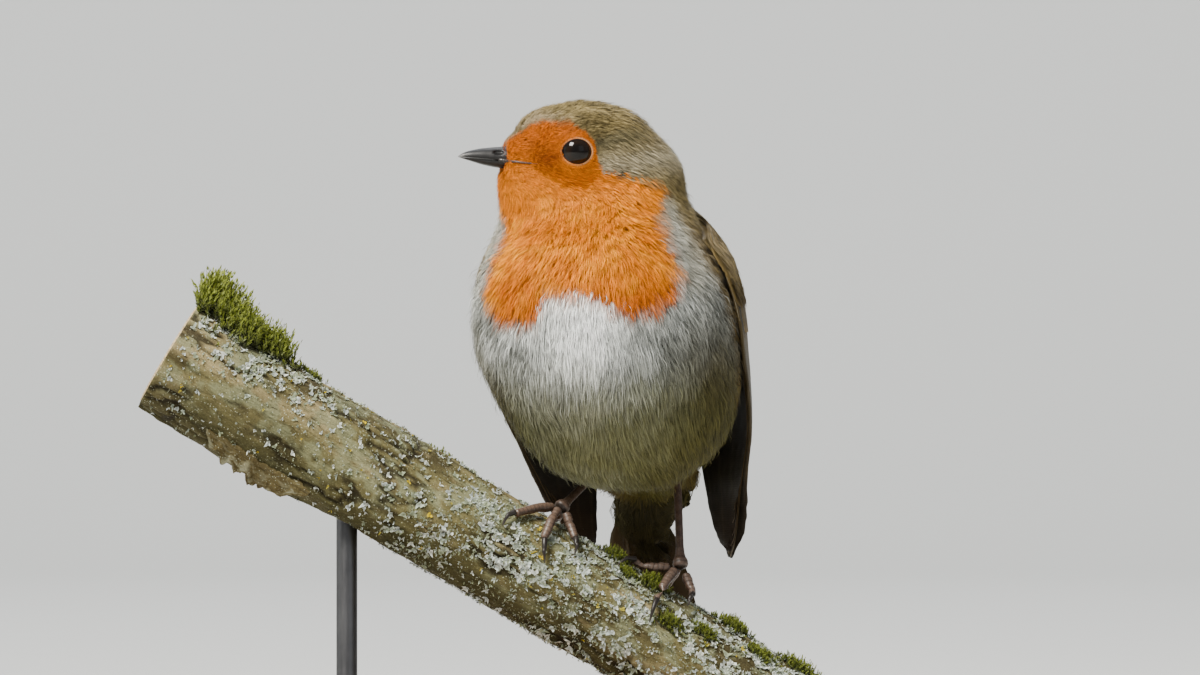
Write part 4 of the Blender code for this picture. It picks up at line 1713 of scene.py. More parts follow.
    def build(self, finish: Material) -> list[Object]:
        """Makes the core and the feathers, in the vanes' finish.

        Args:
            finish: the vanes' material.

        Returns:
            The two pieces.
        """
        maker = VaneMaker(31 if self.sign > 0 else 32)
        t = np.linspace(0.0, 1.0, maker.along)
        for row in self.rows():
            for index in range(row.count):
                share = index / max(row.count - 1, 1)
                pick = [pair[0] + (pair[1] - pair[0]) * share
                        for pair in (row.root_across, row.root_height, row.tip_across, row.tip_height)]
                jitter = maker.rng.uniform(-0.012, 0.012, 2)
                across = pick[0] + jitter[0] + (pick[2] + jitter[1] - pick[0]) * t
                height = (pick[1] + (pick[3] - pick[1]) * t) * MM
                found = [self.surface(a, z) for a, z in zip(across, height)]
                shaft = np.array([place for place, _ in found])
                normals = np.array([way for _, way in found])
                maker.add(even_out(shaft, 4), normals, row, -self.sign, share)
        return [self.core(finish), maker.build("wing_feathers_" + self.side_name, finish)]


@dataclass
class Tail:
    """Twelve long feathers, the middle pair uppermost."""

    count: int = 12
    root_spread: float = 3.6 * MM
    tip_spread: float = 6.9 * MM
    half_width: float = 2.5

    def build(self, finish: Material) -> Object:
        """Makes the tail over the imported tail's middle line.

        Args:
            finish: the vanes' material.

        Returns:
            The tail.
        """
        points = node_points("tail")
        order = np.argsort(points[:, 2])
        few = max(len(points) // 12, 6)
        tip, root = points[order[:few]].mean(axis=0), points[order[-few:]].mean(axis=0)
        axis = unit(tip - root)
        upper = unit(np.cross(LEFTWARD, axis))
        if upper[1] < 0:
            upper = -upper
        reach = np.max((points - root) @ axis)
        maker = VaneMaker(41, along=26)
        t = np.linspace(0.0, 1.0, maker.along)
        dark, edge, pale = (0.036, 0.028, 0.012), (0.070, 0.052, 0.022), (0.13, 0.10, 0.055)
        for index in range(self.count):
            place = (index + 0.5) / self.count * 2.0 - 1.0
            layer = 0.62 - 1.15 * abs(place)
            row = Row(1, (0, 0), (0, 0), (0, 0), (0, 0), self.half_width, (layer, layer), dark, edge, pale,
                      Web.NARROW_OUTER if abs(place) > 0.8 else Web.BROAD_INNER, 0.12)
            # The outer feathers on the bird's right are painted lighter: painted light along that edge of
            # the tail.
            if place < -0.45:
                row.tint, row.edge = (0.070, 0.056, 0.024), (0.13, 0.108, 0.052)
            length = reach * (0.975 - 0.015 * abs(place)) * maker.rng.uniform(0.99, 1.0)
            spread = place * (self.root_spread + (self.tip_spread - self.root_spread) * t)
            bow = -0.6 * MM * place ** 2
            shaft = root + axis * (length * t)[:, None] + LEFTWARD * spread[:, None] + upper * bow
            maker.add(shaft, np.tile(upper, (maker.along, 1)), row, math.copysign(1.0, place), 0.0)
        return maker.build("tail_feathers", finish)


# ---------------------------------------------------------------- hard parts: bill, eyes, legs, claws
@dataclass(frozen=True)
class HornFinish(Finish):
    """Dark horn with a soft gloss, paler toward the worn edges."""

    dark: Tint = (0.010, 0.009, 0.009)
    pale: Tint = (0.050, 0.047, 0.045)
    roughness: float = 0.32

    def lay(self, shader: Shader) -> Material:
        """Lays the nodes.

        Args:
            shader: the material's nodes.

        Returns:
            The finished material.
        """
        grain = shader.noise(shader.where((1.0, 1.0, 3.5)), 0.9, 4.0)
        fine = shader.noise(shader.where(), 5.0, 3.0)
        tint = shader.colour_of("tint")
        share = shader.step(0.45, 0.75, grain)
        worn = shader.mix(share * 0.5, self.dark, self.pale)
        colour = shader.mix(0.55, worn, tint)
        rough = self.roughness + 0.18 * fine
        return shader.finish(colour, rough, fine * 0.6 + grain * 0.4, 0.02, Coat_Weight=0.10,
                             Coat_Roughness=0.25, Specular_IOR_Level=0.28)


@dataclass(frozen=True)
class LegFinish(Finish):
    """Thin reddish-brown scaly skin, glossy on the plates and dull in the grooves."""

    roughness: float = 0.34

    def lay(self, shader: Shader) -> Material:
        """Lays the nodes.

        Args:
            shader: the material's nodes.

        Returns:
            The finished material.
        """
        pebble = shader.cells(shader.where(), 3.4)
        blotch = shader.noise(shader.where(), 1.1, 3.0)
        level = 0.75 + 0.5 * blotch - 0.25 * shader.step(0.25, 0.6, pebble)
        colour = shader.tinted(level)
        rough = self.roughness + 0.3 * shader.step(0.3, 0.7, pebble)
        return shader.finish(colour, rough, 1.0 - pebble, 0.03, Coat_Weight=0.15, Coat_Roughness=0.3)


@dataclass(frozen=True)
class EyeFinish(Finish):
    """A nearly black eye under a wet clear layer, with a faint brown iris."""

    def lay(self, shader: Shader) -> Material:
        """Lays the nodes.

        Args:
            shader: the material's nodes.

        Returns:
            The finished material.
        """
        tint = shader.colour_of("tint")
        fleck = shader.noise(shader.where(), 2.0, 4.0)
        colour = shader.mix(fleck * 0.5, tint, (0.010, 0.007, 0.005))
        return shader.finish(colour, 0.12 + 0.05 * fleck, fleck, 0.002, Coat_Weight=0.55,
                             Coat_Roughness=0.04, Coat_IOR=1.34, Specular_IOR_Level=0.12)


def closed_tube(name: str, rings: Array, ends: Array, tints: Array, end_tints: Array,
                finish: Material) -> Object:
    """Skins rings of points and closes both ends.

    Args:
        name: the piece's name.
        rings: points, by station and place round it.
        ends: the two points that close the tube.
        tints: colours of the rings' points.
        end_tints: colours of the two end points.
        finish: the material.

    Returns:
        The piece, its faces outward.
    """
    stations, around = rings.shape[:2]
    turn = np.arange(around)
    beside = np.roll(turn, -1)
    last = (stations - 1) * around
    caps = np.concatenate([np.stack([turn, beside, np.full(around, last + around)], -1),
                           np.stack([last + beside, last + turn, np.full(around, last + around + 1)], -1)])
    points = np.concatenate([rings.reshape(-1, 3), ends])
    obj = mesh_object(name, points, [grid_faces(stations, around), caps], finish)
    paint(obj.data, np.concatenate([tints.reshape(-1, 3), end_tints]))
    face_outward(obj)
    return obj


def swept(name: str, path: Array, radii: Array, finish: Material, tint: Array,
          around: int = 20, up: Array = UP) -> Object:
    """Makes a closed tube along a path.

    Args:
        name: the piece's name.
        path: its middle line, one row for each station.
        radii: sideways and upward radii, by station and angle.
        finish: the material.
        tint: colours, by station and angle.
        around: points round each station.
        up: which way counts as the tube's top.

    Returns:
        The tube, with rounded closed ends.
    """
    heading = unit(np.gradient(path, axis=0))
    side = unit(np.cross(heading, up))
    top = np.cross(side, heading)
    angle = turns(around)
    ring = side[:, None] * np.cos(angle)[None, :, None] + top[:, None] * np.sin(angle)[None, :, None]
    ends = np.stack([path[0] - heading[0] * radii[0].mean() * 0.5,
                     path[-1] + heading[-1] * radii[-1].mean() * 0.5])
    end_tints = np.stack([tint[0].mean(0), tint[-1].mean(0)])
    return closed_tube(name, path[:, None] + ring * radii[..., None], ends, tint, end_tints, finish)


def middle_line(node: str, start: Array, count: int) -> tuple[Array, Array]:
    """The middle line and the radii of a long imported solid.

    Args:
        node: the CAD node.
        start: a place near the end to begin from.
        count: stations wanted.

    Returns:
        Places along it and the mean radius at each.
    """
    points = node_points(node)
    centre = points.mean(axis=0)
    axis = np.linalg.svd(points - centre)[2][0]
    if (start - centre) @ axis > 0:
        axis = -axis
    along = (points - centre) @ axis
    low, high = along.min(), along.max()
    bins = 6
    spots, widths = [], []
    for index in range(bins):
        a, b = low + (high - low) * index / bins, low + (high - low) * (index + 1) / bins
        chosen = points[(along >= a - 1e-6) & (along <= b + 1e-6)]
        if len(chosen) >= 5:
            spot = (chosen.min(axis=0) + chosen.max(axis=0)) / 2 * 0.3 + chosen.mean(axis=0) * 0.7
            spots.append(spot)
            flat = chosen - spot
            flat = flat - np.outer(flat @ axis, axis)
            widths.append(np.median(np.linalg.norm(flat, axis=1)))
    line = np.array(spots)
    ends = [points[along < low + 0.02 * (high - low) + 1e-5].mean(axis=0),
            points[along > high - 0.02 * (high - low) - 1e-5].mean(axis=0)]
    line = np.vstack([ends[0], line[1:-1] if len(line) > 3 else line, ends[1]])
    widths = np.concatenate([[widths[0]], widths[1:-1] if len(spots) > 3 else widths, [widths[-1]]])
    steps = distances(line)
    even = np.linspace(0.0, steps[-1], count)
    path = np.stack([np.interp(even, steps, line[:, k]) for k in range(3)], -1)
    return even_out(path, max(count // 6, 2)), np.interp(even, steps, widths)


@dataclass
class Leg:
    """One bare shank with its four toes and claws."""

    side_name: str
    plate_length: float = 0.95      # millimetres between the toes' plates
    brown: Tint = (0.050, 0.024, 0.013)
    pale: Tint = (0.155, 0.100, 0.070)
    sole: Tint = (0.15, 0.062, 0.026)
    groove: Tint = (0.012, 0.007, 0.004)
    claw_dark: Tint = (0.020, 0.014, 0.011)
    claw_tip: Tint = (0.07, 0.058, 0.048)

    def toe(self, name: str, knuckle: Array, finish: Material) -> Object:
        """A toe with ringed plates above and soft pads below.

        Args:
            name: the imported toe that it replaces.
            knuckle: the foot's middle, in metres.
            finish: the bare skin's material.

        Returns:
            The toe.
        """
        path, radii = middle_line(name, knuckle, 74)
        length = np.linalg.norm(np.diff(path, axis=0), axis=1).sum() / MM
        rng = np.random.default_rng(sum(map(ord, name)))
        around = 20
        t = np.linspace(0.0, 1.0, len(path))[:, None]
        angle = turns(around)[None, :]
        above = np.clip(np.sin(angle), -0.2, 1.0)
        plates = (t * length / self.plate_length + 0.12 * np.cos(angle)) % 1.0
        edge = bell(plates, 0.5, 0.5, 6)
        joint = bell(t * 2.6 % 1.0, 0.5, 0.16)
        radius = radii[:, None] * (0.97 + 0.09 * edge * ramp(-0.2, 0.3, above))
        radius = radius * (1.0 + 0.08 * joint * ramp(0.2, -0.5, np.sin(angle)))
        radius = radius * (1.0 + 0.02 * rng.standard_normal((len(path), 1)))
        share = np.clip(1.0 - edge, 0, 1) * ramp(-0.2, 0.2, np.sin(angle))
        tint = layered(
            self.brown,
            (self.pale, 0.75 * edge * ramp(0.1, 0.9, np.sin(angle))),
            (self.sole, 0.7 * ramp(0.0, -0.7, np.sin(angle)) * np.ones_like(t)),
            (self.groove, 0.8 * share))
        return swept(name + "_skin", path, radius, finish, tint, around, self.up_for(path))

    def up_for(self, path: Array) -> Array:
        """The direction away from the branch along a toe."""
        bend = path[len(path) // 2] - (path[0] + path[-1]) / 2
        return unit(bend + 0.25 * np.linalg.norm(path[-1] - path[0]) * np.array((0.0, -0.5, 0.6)))

    def claw(self, name: str, knuckle: Array, finish: Material) -> Object:
        """A curved, tapering nail.

        Args:
            name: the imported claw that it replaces.
            knuckle: the foot's middle, in metres.
            finish: the horn.

        Returns:
            The claw.
        """
        path, _ = middle_line(name, knuckle, 30)
        heading = unit(path[-1] - path[0])
        t = np.linspace(0.0, 1.0, len(path))[:, None]
        sag = np.array((0.0, 0.25, -1.0))
        sag = unit(sag - heading * (sag @ heading))
        path = path - sag * (0.35 * MM * np.sin(math.pi * t ** 0.8))
        around = np.ones((1, 12))
        radius = (0.52 * (1.0 - t) ** 0.7 + 0.06) * MM * around
        tint = blend(self.claw_dark, self.claw_tip, ramp(0.6, 1.0, t) * around)
        return swept(name + "_horn", path, radius, finish, tint, 12, -sag)

    def shank(self, name: str, finish: Material) -> Object:
        """The tarsus, with a few long plates and swollen ends.

        Args:
            name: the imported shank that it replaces.
            finish: the bare skin's material.

        Returns:
            The shank.
        """
        knuckle = np.array(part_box(name)[0])
        path, _ = middle_line(name, np.array((knuckle[0], knuckle[1], 0.0)), 110)
        around = 24
        t = np.linspace(0.0, 1.0, len(path))[:, None]
        angle = turns(around)[None, :]
        rings = np.sin(t * 9.5 * math.pi) ** 2
        low = ramp(0.25, 0.0, t)
        plates = np.abs(((t * 21.0) % 1.0) - 0.5) * 2.0
        core = (0.66 + 0.10 * np.cos(angle) ** 2) * MM
        knob = bell(t, 0.045, 0.055)
        swell = 0.20 * low + 0.48 * knob + 0.22 * ramp(0.78, 1.0, t)
        radius = core * (1.0 + 0.03 * rings) + swell * MM
        radius = radius * (1.0 + 0.10 * low * (1.0 - plates ** 3) - 0.03)
        worn = (0.55 * low * (1 - plates ** 2) + 0.22 * rings) * np.ones_like(angle)
        tint = blend(self.brown, self.pale, worn)
        tint = blend(tint, self.groove, 0.75 * low * plates ** 4 * np.ones_like(angle))
        return swept(name + "_skin", path, radius, finish, tint, around, np.array((0.0, -1.0, 0.0)))

    def build(self, leather: Material, horn: Material) -> None:
        """Makes and settles the shank, the toes and the claws.

        Args:
            leather: the bare skin's material.
            horn: the claws' material.
        """
        shank = "tarsus_" + self.side_name
        settle(self.shank(shank, leather), (shank,))
        points = node_points(shank)
        knuckle = points[np.argsort(points[:, 2])[:12]].mean(axis=0)
        for toe in ("outer", "middle", "inner", "hind"):
            name = f"toe_{toe}_{self.side_name}"
            settle(self.toe(name, knuckle, leather), (name,))
            nail = f"claw_{toe}_{self.side_name}"
            settle(self.claw(nail, knuckle, horn), (nail,))


@dataclass
class Eye:
    """An eyeball with its bare lid rim and a ring of tiny pale feathers."""

    side_name: str
    sign: float
    plumage: Plumage
    pupil: Tint = (0.0025, 0.002, 0.002)
    iris: Tint = (0.012, 0.006, 0.003)
    pale_ring: Tint = (0.78, 0.58, 0.32)
    dark_rim: Tint = (0.012, 0.010, 0.009)
    pale_feather: Tint = (0.66, 0.47, 0.25)

    def __post_init__(self) -> None:
        """Finds the eye's middle and its axes."""
        places = self.plumage.places
        self.opening = self.plumage.opening
        self.radius = self.plumage.eye_radius * MM
        self.centre = centre_of("eye_" + self.side_name)
        self.out = places.left * self.sign
        self.ahead = places.ahead

    def on_ball(self, ahead: Array, above: Array, lift: float) -> Array:
        """A place on the eyeball, or on the lid's slope outside the opening.

        Args:
            ahead: distance toward the bill, in millimetres.
            above: distance up, in millimetres.
            lift: height over the eyeball, in millimetres.

        Returns:
            The place, in metres.
        """
        radius = self.radius / MM
        reach = np.maximum(np.hypot(ahead, above), 1e-6)
        edge = 1.0 / np.hypot(ahead / reach / self.opening[0], above / reach / self.opening[1])
        inner = np.sqrt(np.maximum(radius ** 2 - np.minimum(reach, edge) ** 2, 0.05))
        out = inner - 0.16 * np.maximum(reach - edge, 0.0) + lift
        flat = ahead[..., None] * self.ahead + above[..., None] * UP + out[..., None] * self.out
        return self.centre + flat * MM

    def ball(self, finish: Material) -> Object:
        """The eyeball.

        Args:
            finish: the eye's material.

        Returns:
            The eyeball.
        """
        deselect()
        bpy.ops.mesh.primitive_uv_sphere_add(segments=64, ring_count=40, radius=self.radius,
                                             location=tuple(self.centre))
        ball = bpy.context.object
        ball.name = "eyeball_" + self.side_name
        settle_transform()
        bpy.ops.object.shade_smooth()
        offset = (read_points(ball.data) - self.centre) / self.radius
        off_axis = np.degrees(np.arccos(np.clip(offset @ self.out, -1, 1)))
        iris = bell(off_axis, 36.0, 9.0)
        paint(ball.data, blend(self.pupil, self.iris, iris))
        ball.data.materials.append(finish)
        return ball

    def lid(self, finish: Material) -> Object:
        """The lid: a dark rim round the opening, rising to a pale ring and falling to the skin.

        Args:
            finish: the lid's material.

        Returns:
            The lid.
        """
        turn = turns(96)
        profile = [(0.93, -0.25), (0.96, 0.02), (0.98, 0.09), (1.005, 0.10), (1.03, 0.05), (1.05, 0.07),
                   (1.075, 0.10), (1.10, 0.07), (1.13, -0.02), (1.18, -0.25)]
        rings, tints = [], []
        a, b = self.opening
        corner = 1.0 + 0.05 * np.maximum(np.cos(turn), 0.0) ** 12
        corner = corner + 0.03 * np.maximum(-np.cos(turn), 0.0) ** 12
        rng = np.random.default_rng(51)
        beads = 0.5 + 0.5 * np.sin(turn * 34 + rng.uniform(0, 1, len(turn)))
        pale_side = 0.35 + 0.65 * ramp(0.3, -0.6, np.cos(turn))
        for grow, lift in profile:
            spot = self.on_ball(a * grow * corner * np.cos(turn), b * grow * corner * np.sin(turn), lift)
            rings.append(spot)
            colour = self.plumage.colour(spot)
            rim, ring = bell(grow, 0.985, 0.038), bell(grow, 1.065, 0.03)
            tints.append(layered(
                colour,
                (self.pale_ring, ring * pale_side * (0.25 + 0.65 * beads)),
                (self.dark_rim, np.full(len(turn), min(1.0, rim * 1.3)))))
        points = np.stack(rings)
        outward = [0, 3, 2, 1] if self.sign > 0 else [1, 2, 3, 0]
        quads = grid_faces(*points.shape[:2])[:, outward]
        lid = mesh_object("lid_" + self.side_name, points.reshape(-1, 3), [quads], finish)
        paint(lid.data, np.stack(tints))
        thicken(lid, 0.12 * MM, -1.0)
        return lid

    def ring_feathers(self, finish: Material) -> Object:
        """Rows of tiny feathers that lie outward from the lid.

        Args:
            finish: the soft plumage's material.

        Returns:
            The tufts' piece.
        """
        rng = np.random.default_rng(52)
        a, b = self.opening
        spines, normals, sides, lengths, tints = [], [], [], [], []
        for row, grow in enumerate((1.06, 1.10, 1.15, 1.21)):
            count = 72 + 6 * row
            turn = np.arange(count) + rng.uniform(0.0, 0.6, count) + 0.5 * (row % 2)
            turn = turn * 2 * math.pi / count
            long = 0.085 + 0.045 * row
            line = []
            for step in range(5):
                reach = grow + long * step / 4
                lift = 0.04 + 0.02 * row + 0.08 * step / 4
                line.append(self.on_ball(a * reach * np.cos(turn), b * reach * np.sin(turn), lift))
            line = np.stack(line, axis=1)
            spines.append(line)
            normal = unit(unit(line - self.centre) + 1.2 * self.out)
            normals.append(normal)
            sides.append(unit(np.cross(normal, np.gradient(line, axis=1))))
            lengths.append(np.linalg.norm(line[:, -1] - line[:, 0], axis=1))
            colour = self.plumage.colour(line[:, 2])
            pale = (0.30 + 0.70 * ramp(0.3, -0.6, np.cos(turn))) * max(0.0, 0.75 - 0.45 * row)
            colour = blend(colour, self.pale_feather, pale)
            tints.append(colour * rng.uniform(0.8, 1.2, (count, 1)))
        length = np.concatenate(lengths)
        tint = np.concatenate(tints)
        tufts = TuftSet(np.concatenate(spines), np.concatenate(normals), np.concatenate(sides), length,
                        length * 0.42, np.full(len(length), 0.14 * MM), tint, 0.5 * tint)
        maker = TuftMaker(53, barbs=7, steps=2, barb_width=0.20)
        return maker.build("eye_ring_" + self.side_name, tufts, finish)


@dataclass
class Bill:
    """Upper and lower mandibles with ridge, nostrils and the line of the gape.

    Distances are millimetres ahead of and above the middle between the eyes.
    """

    places: Places
    stations: int = 72
    around: int = 15
    ahead: Sequence[float] = (7.5, 10.0, 12.4, 14.6, 16.8, 18.9, 20.3, 21.1)
    ridge: Sequence[float] = (1.5, 1.25, 0.85, 0.74, 0.55, 0.18, -0.26, -0.80)
    gape: Sequence[float] = (-2.0, -1.85, -1.65, -1.45, -1.25, -1.05, -0.94, -0.86)
    keel: Sequence[float] = (-3.3, -3.2, -3.1, -2.78, -2.28, -1.62, -1.20, -0.92)
    half_width: Sequence[float] = (2.9, 2.65, 2.30, 1.90, 1.45, 0.95, 0.50, 0.10)
    nostril: tuple[float, float] = (13.6, 0.62)     # ahead, and share of the way up the side
    black: Tint = (0.006, 0.006, 0.006)
    # painted highlight along the top of the bill
    sheen: Tint = (0.036, 0.038, 0.044)
    worn_tip: Tint = (0.16, 0.15, 0.14)
    warm_root: Tint = (0.070, 0.036, 0.020)
    # near-black painted shade in the nostrils and along the gape
    pit: Tint = (0.002, 0.002, 0.002)
    fold: Tint = (0.010, 0.006, 0.004)
    fold_ruddy: Tint = (0.050, 0.018, 0.006)

    def mandible(self, node: str, upper: bool, finish: Material) -> Object:
        """Makes one mandible.

        Args:
            node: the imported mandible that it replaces.
            upper: whether it is the upper one.
            finish: the horn.

        Returns:
            The mandible.
        """
        places = self.places
        share = np.linspace(0.0, 1.0, self.stations) ** 0.85
        ahead = self.ahead[0] + (self.ahead[-1] - self.ahead[0]) * share
        smooth = np.linspace(self.ahead[0], self.ahead[-1], 400)

        def profile(values: Sequence[float]) -> Array:
            """The profile's height or width at each station, with its corners rounded."""
            return np.interp(ahead, smooth, even_out(np.interp(smooth, self.ahead, values), 260))

        edge, wide = profile(self.gape), profile(self.half_width) * (1.0 if upper else 0.93)
        outer = profile(self.ridge if upper else self.keel)
        turn = np.linspace(0.0, math.pi, self.around * 2 + 1)
        dome = np.sin(turn) ** (1.05 if upper else 0.8)
        crest = 0.07 * bell(turn, math.pi / 2, 0.22) if upper else 0.0 * turn
        flat = np.linspace(-1.0, 1.0, self.around)[1:-1]
        rows, tints = [], []
        for index, a in enumerate(ahead):
            side = np.cos(turn) * wide[index]
            level = edge[index] + (outer[index] - edge[index]) * (dome + crest)
            level = level + (0.035 if upper else -0.035)
            inner = np.full(len(flat), edge[index] + (0.10 if upper else -0.10))
            pit = np.zeros(len(turn))
            if upper:
                slot = ((a - self.nostril[0]) / 1.05) ** 2 + ((dome - self.nostril[1]) / 0.17) ** 2
                pit = ramp(1.25, 0.45, slot) * (np.abs(np.cos(turn)) > 0.2)
                side = side * (1.0 - 0.30 * pit)
            x = np.concatenate([side, flat * wide[index] * 0.94])
            z = np.concatenate([level, inner])
            offset = a * places.ahead + x[:, None] * places.left + z[:, None] * UP
            rows.append(places.eyes + offset * MM)
            # The top of each mandible carries a painted highlight, strongest on the upper one.
            painted_highlight, warm = (0.8, 0.5) if upper else (0.15, 0.8)
            light = np.concatenate([ramp(0.55, 1.0, dome), 0.0 * flat])
            low = np.concatenate([ramp(0.5, 0.0, dome), np.ones(len(flat))])
            # painted shade: the nostril and the inner faces at the gape go near-black
            dark = np.concatenate([pit, np.ones(len(flat))])
            tints.append(layered(
                self.black,
                (self.sheen, painted_highlight * light),
                (self.worn_tip, 0.7 * ramp(19.6, 20.6, a) * np.ones(len(x))),
                (self.warm_root, warm * ramp(14.5, 9.0, a) * low),
                (self.pit, np.clip(dark * 1.3, 0, 1))))
        rings, tints = np.stack(rows), np.stack(tints)
        ends = np.stack([rings[0].mean(axis=0), rings[-1].mean(axis=0) + places.ahead * 0.10 * MM])
        return closed_tube(node + "_horn", rings, ends, tints, tints[[0, -1], 0], finish)

    def gape_fold(self, sign: float, skin_tree: BVHTree, finish: Material) -> Object:
        """The soft fold at the corner of the gape, lying on the face behind the bill.

        Args:
            sign: 1 for the left side, -1 for the right.
            skin_tree: the skin's faces.
            finish: the leathery material.

        Returns:
            The fold.
        """
        places = self.places
        path, shares = [], np.linspace(0.0, 1.0, 28)
        for share in shares:
            a = 13.6 - 7.4 * share
            z = np.interp(a, self.ahead, self.gape) - 0.35 * share
            middle = places.eyes + (a * places.ahead + z * UP) * MM
            near = middle + places.left * sign * np.interp(a, self.ahead, self.half_width) * MM
            outside = Vector(middle + places.left * sign * 0.05)
            hit = skin_tree.ray_cast(outside, Vector(-places.left * sign))
            side = near if hit[0] is None else np.array(hit[0])
            side = side + places.left * sign * (0.80 - 0.35 * share) * MM
            path.append(near + (side - near) * float(ramp(0.0, 0.25, share)))
        path = even_out(np.array(path), 6)
        around = np.ones((1, 10))
        thick = (0.40 - 0.31 * shares ** 0.8)[:, None] * MM * around
        ruddy = ramp(0.0, 0.8, shares)[:, None] * around
        tint = blend(self.fold, self.fold_ruddy, ruddy)
        return swept("gape_" + ("left" if sign > 0 else "right"), path, thick, finish, tint, 10)


# ---------------------------------------------------------------- branch, lichen and moss
@dataclass(frozen=True)
class BarkFinish(Finish):
    """Weathered bark: the mesh's tints with finer cracks, pits and dust."""

    turn: float

    def lay(self, shader: Shader) -> Material:
        """Lays the nodes.

        Args:
            shader: the material's nodes.

        Returns:
            The finished material.
        """
        place = shader.where((1.0, 1.0, 1.0), (0.0, self.turn, 0.0))
        grain = shader.stretch(place, (0.22, 1.0, 1.0))
        fibre = shader.noise(grain, 1.6, 6.0, 0.65, 0.6)
        speck = shader.noise(place, 2.6, 5.0, 0.7)
        pits = shader.cells(place, 1.1)
        level = -0.25 + 1.35 * fibre + 1.15 * speck
        colour = shader.tinted(level)
        crack = shader.step(0.40, 0.30, fibre)
        colour = shader.mix(crack * 0.75, colour, (0.012, 0.009, 0.004))
        dust = shader.step(0.58, 0.70, speck)
        colour = shader.mix(dust * 0.42, colour, (0.27, 0.28, 0.15))
        dots = shader.step(0.26, 0.14, shader.cells(place, 1.7))
        dots = dots * shader.step(0.42, 0.54, shader.noise(place, 0.5, 3.0))
        colour = shader.mix(dots * 0.75, colour, (0.42, 0.43, 0.30))
        height = fibre * 0.7 + speck * 0.4 + shader.step(0.0, 0.25, pits) * 0.15
        return shader.finish(colour, 0.82 + 0.15 * speck, height, 0.55, Specular_IOR_Level=0.2)


@dataclass(frozen=True)
class GrowthFinish(Finish):
    """Lichen or moss: the mesh's tints, broken up by fine specks."""

    speck: tuple[float, float, float]       # fineness, detail and roughness of the specks
    level: tuple[float, float]              # darkest level, and how far the specks lighten it
    roughness: tuple[float, float]          # least roughness, and what the specks add
    bump: float                             # in millimetres
    specular: float
    sheen: float = 0.0

    def lay(self, shader: Shader) -> Material:
        """Lays the nodes.

        Args:
            shader: the material's nodes.

        Returns:
            The finished material.
        """
        speck = shader.noise(shader.where(), *self.speck)
        colour = shader.tinted(self.level[0] + self.level[1] * speck)
        rough = self.roughness[0] + self.roughness[1] * speck
        return shader.finish(colour, rough, speck, self.bump, Specular_IOR_Level=self.specular,
                             Sheen_Weight=self.sheen)


@dataclass(frozen=True)
class WoodFinish(Finish):
    """Wood with growth rings round a line, pores and a rubbed finish."""

    light: Tint
    dark: Tint
    ring: float                     # millimetres between growth rings
    turn: tuple[float, float, float]
    shift: tuple[float, float, float] = (0.0, 0.0, 0.0)
    roughness: float = 0.42
    coat: float = 0.25

    def lay(self, shader: Shader) -> Material:
        """Lays the nodes.

        Args:
            shader: the material's nodes.

        Returns:
            The finished material.
        """
        place = shader.where((1.0, 1.0, 1.0), self.turn)
        place = shader.node("VectorMath", {"operation": "ADD"}, s0=place, s1=self.shift)
        wander = shader.noise(shader.stretch(place, (0.15, 1.0, 1.0)), 0.06, 3.0)
        y = shader.node("SeparateXYZ", output="Y", Vector=place)
        z = shader.node("SeparateXYZ", output="Z", Vector=place)
        reach = shader.math("SQRT", y * y + z * z) + 9.0 * wander
        rings = shader.math("FRACT", reach / self.ring)
        late = shader.step(0.45, 0.95, rings) * (1.0 - shader.step(0.96, 1.0, rings))
        pore = shader.noise(shader.stretch(place, (0.06, 1.0, 1.0)), 3.0, 4.0, 0.6)
        colour = shader.mix(late * 0.6, self.light, self.dark)
        streak = shader.step(0.50, 0.36, pore)
        colour = shader.mix(streak * 0.55, colour, tuple(0.45 * part for part in self.dark))
        rough = self.roughness + 0.25 * streak + 0.05 * wander
        return shader.finish(colour, rough, pore * 0.6 - streak * 0.4, 0.06, Coat_Weight=self.coat,
                             Coat_Roughness=0.25)


@dataclass(frozen=True)
class SteelFinish(Finish):
    """Dark drawn steel with fine lengthwise scratches."""

    def lay(self, shader: Shader) -> Material:
        """Lays the nodes.

        Args:
            shader: the material's nodes.

        Returns:
            The finished material.
        """
        scratch = shader.noise(shader.where((1.0, 1.0, 0.03)), 6.0, 4.0, 0.6)
        cloud = shader.noise(shader.where(), 0.25, 3.0)
        colour = shader.mix(cloud, (0.09, 0.09, 0.095), (0.16, 0.16, 0.165))
        return shader.finish(colour, 0.28 + 0.22 * scratch, scratch, 0.01, Metallic=1.0)


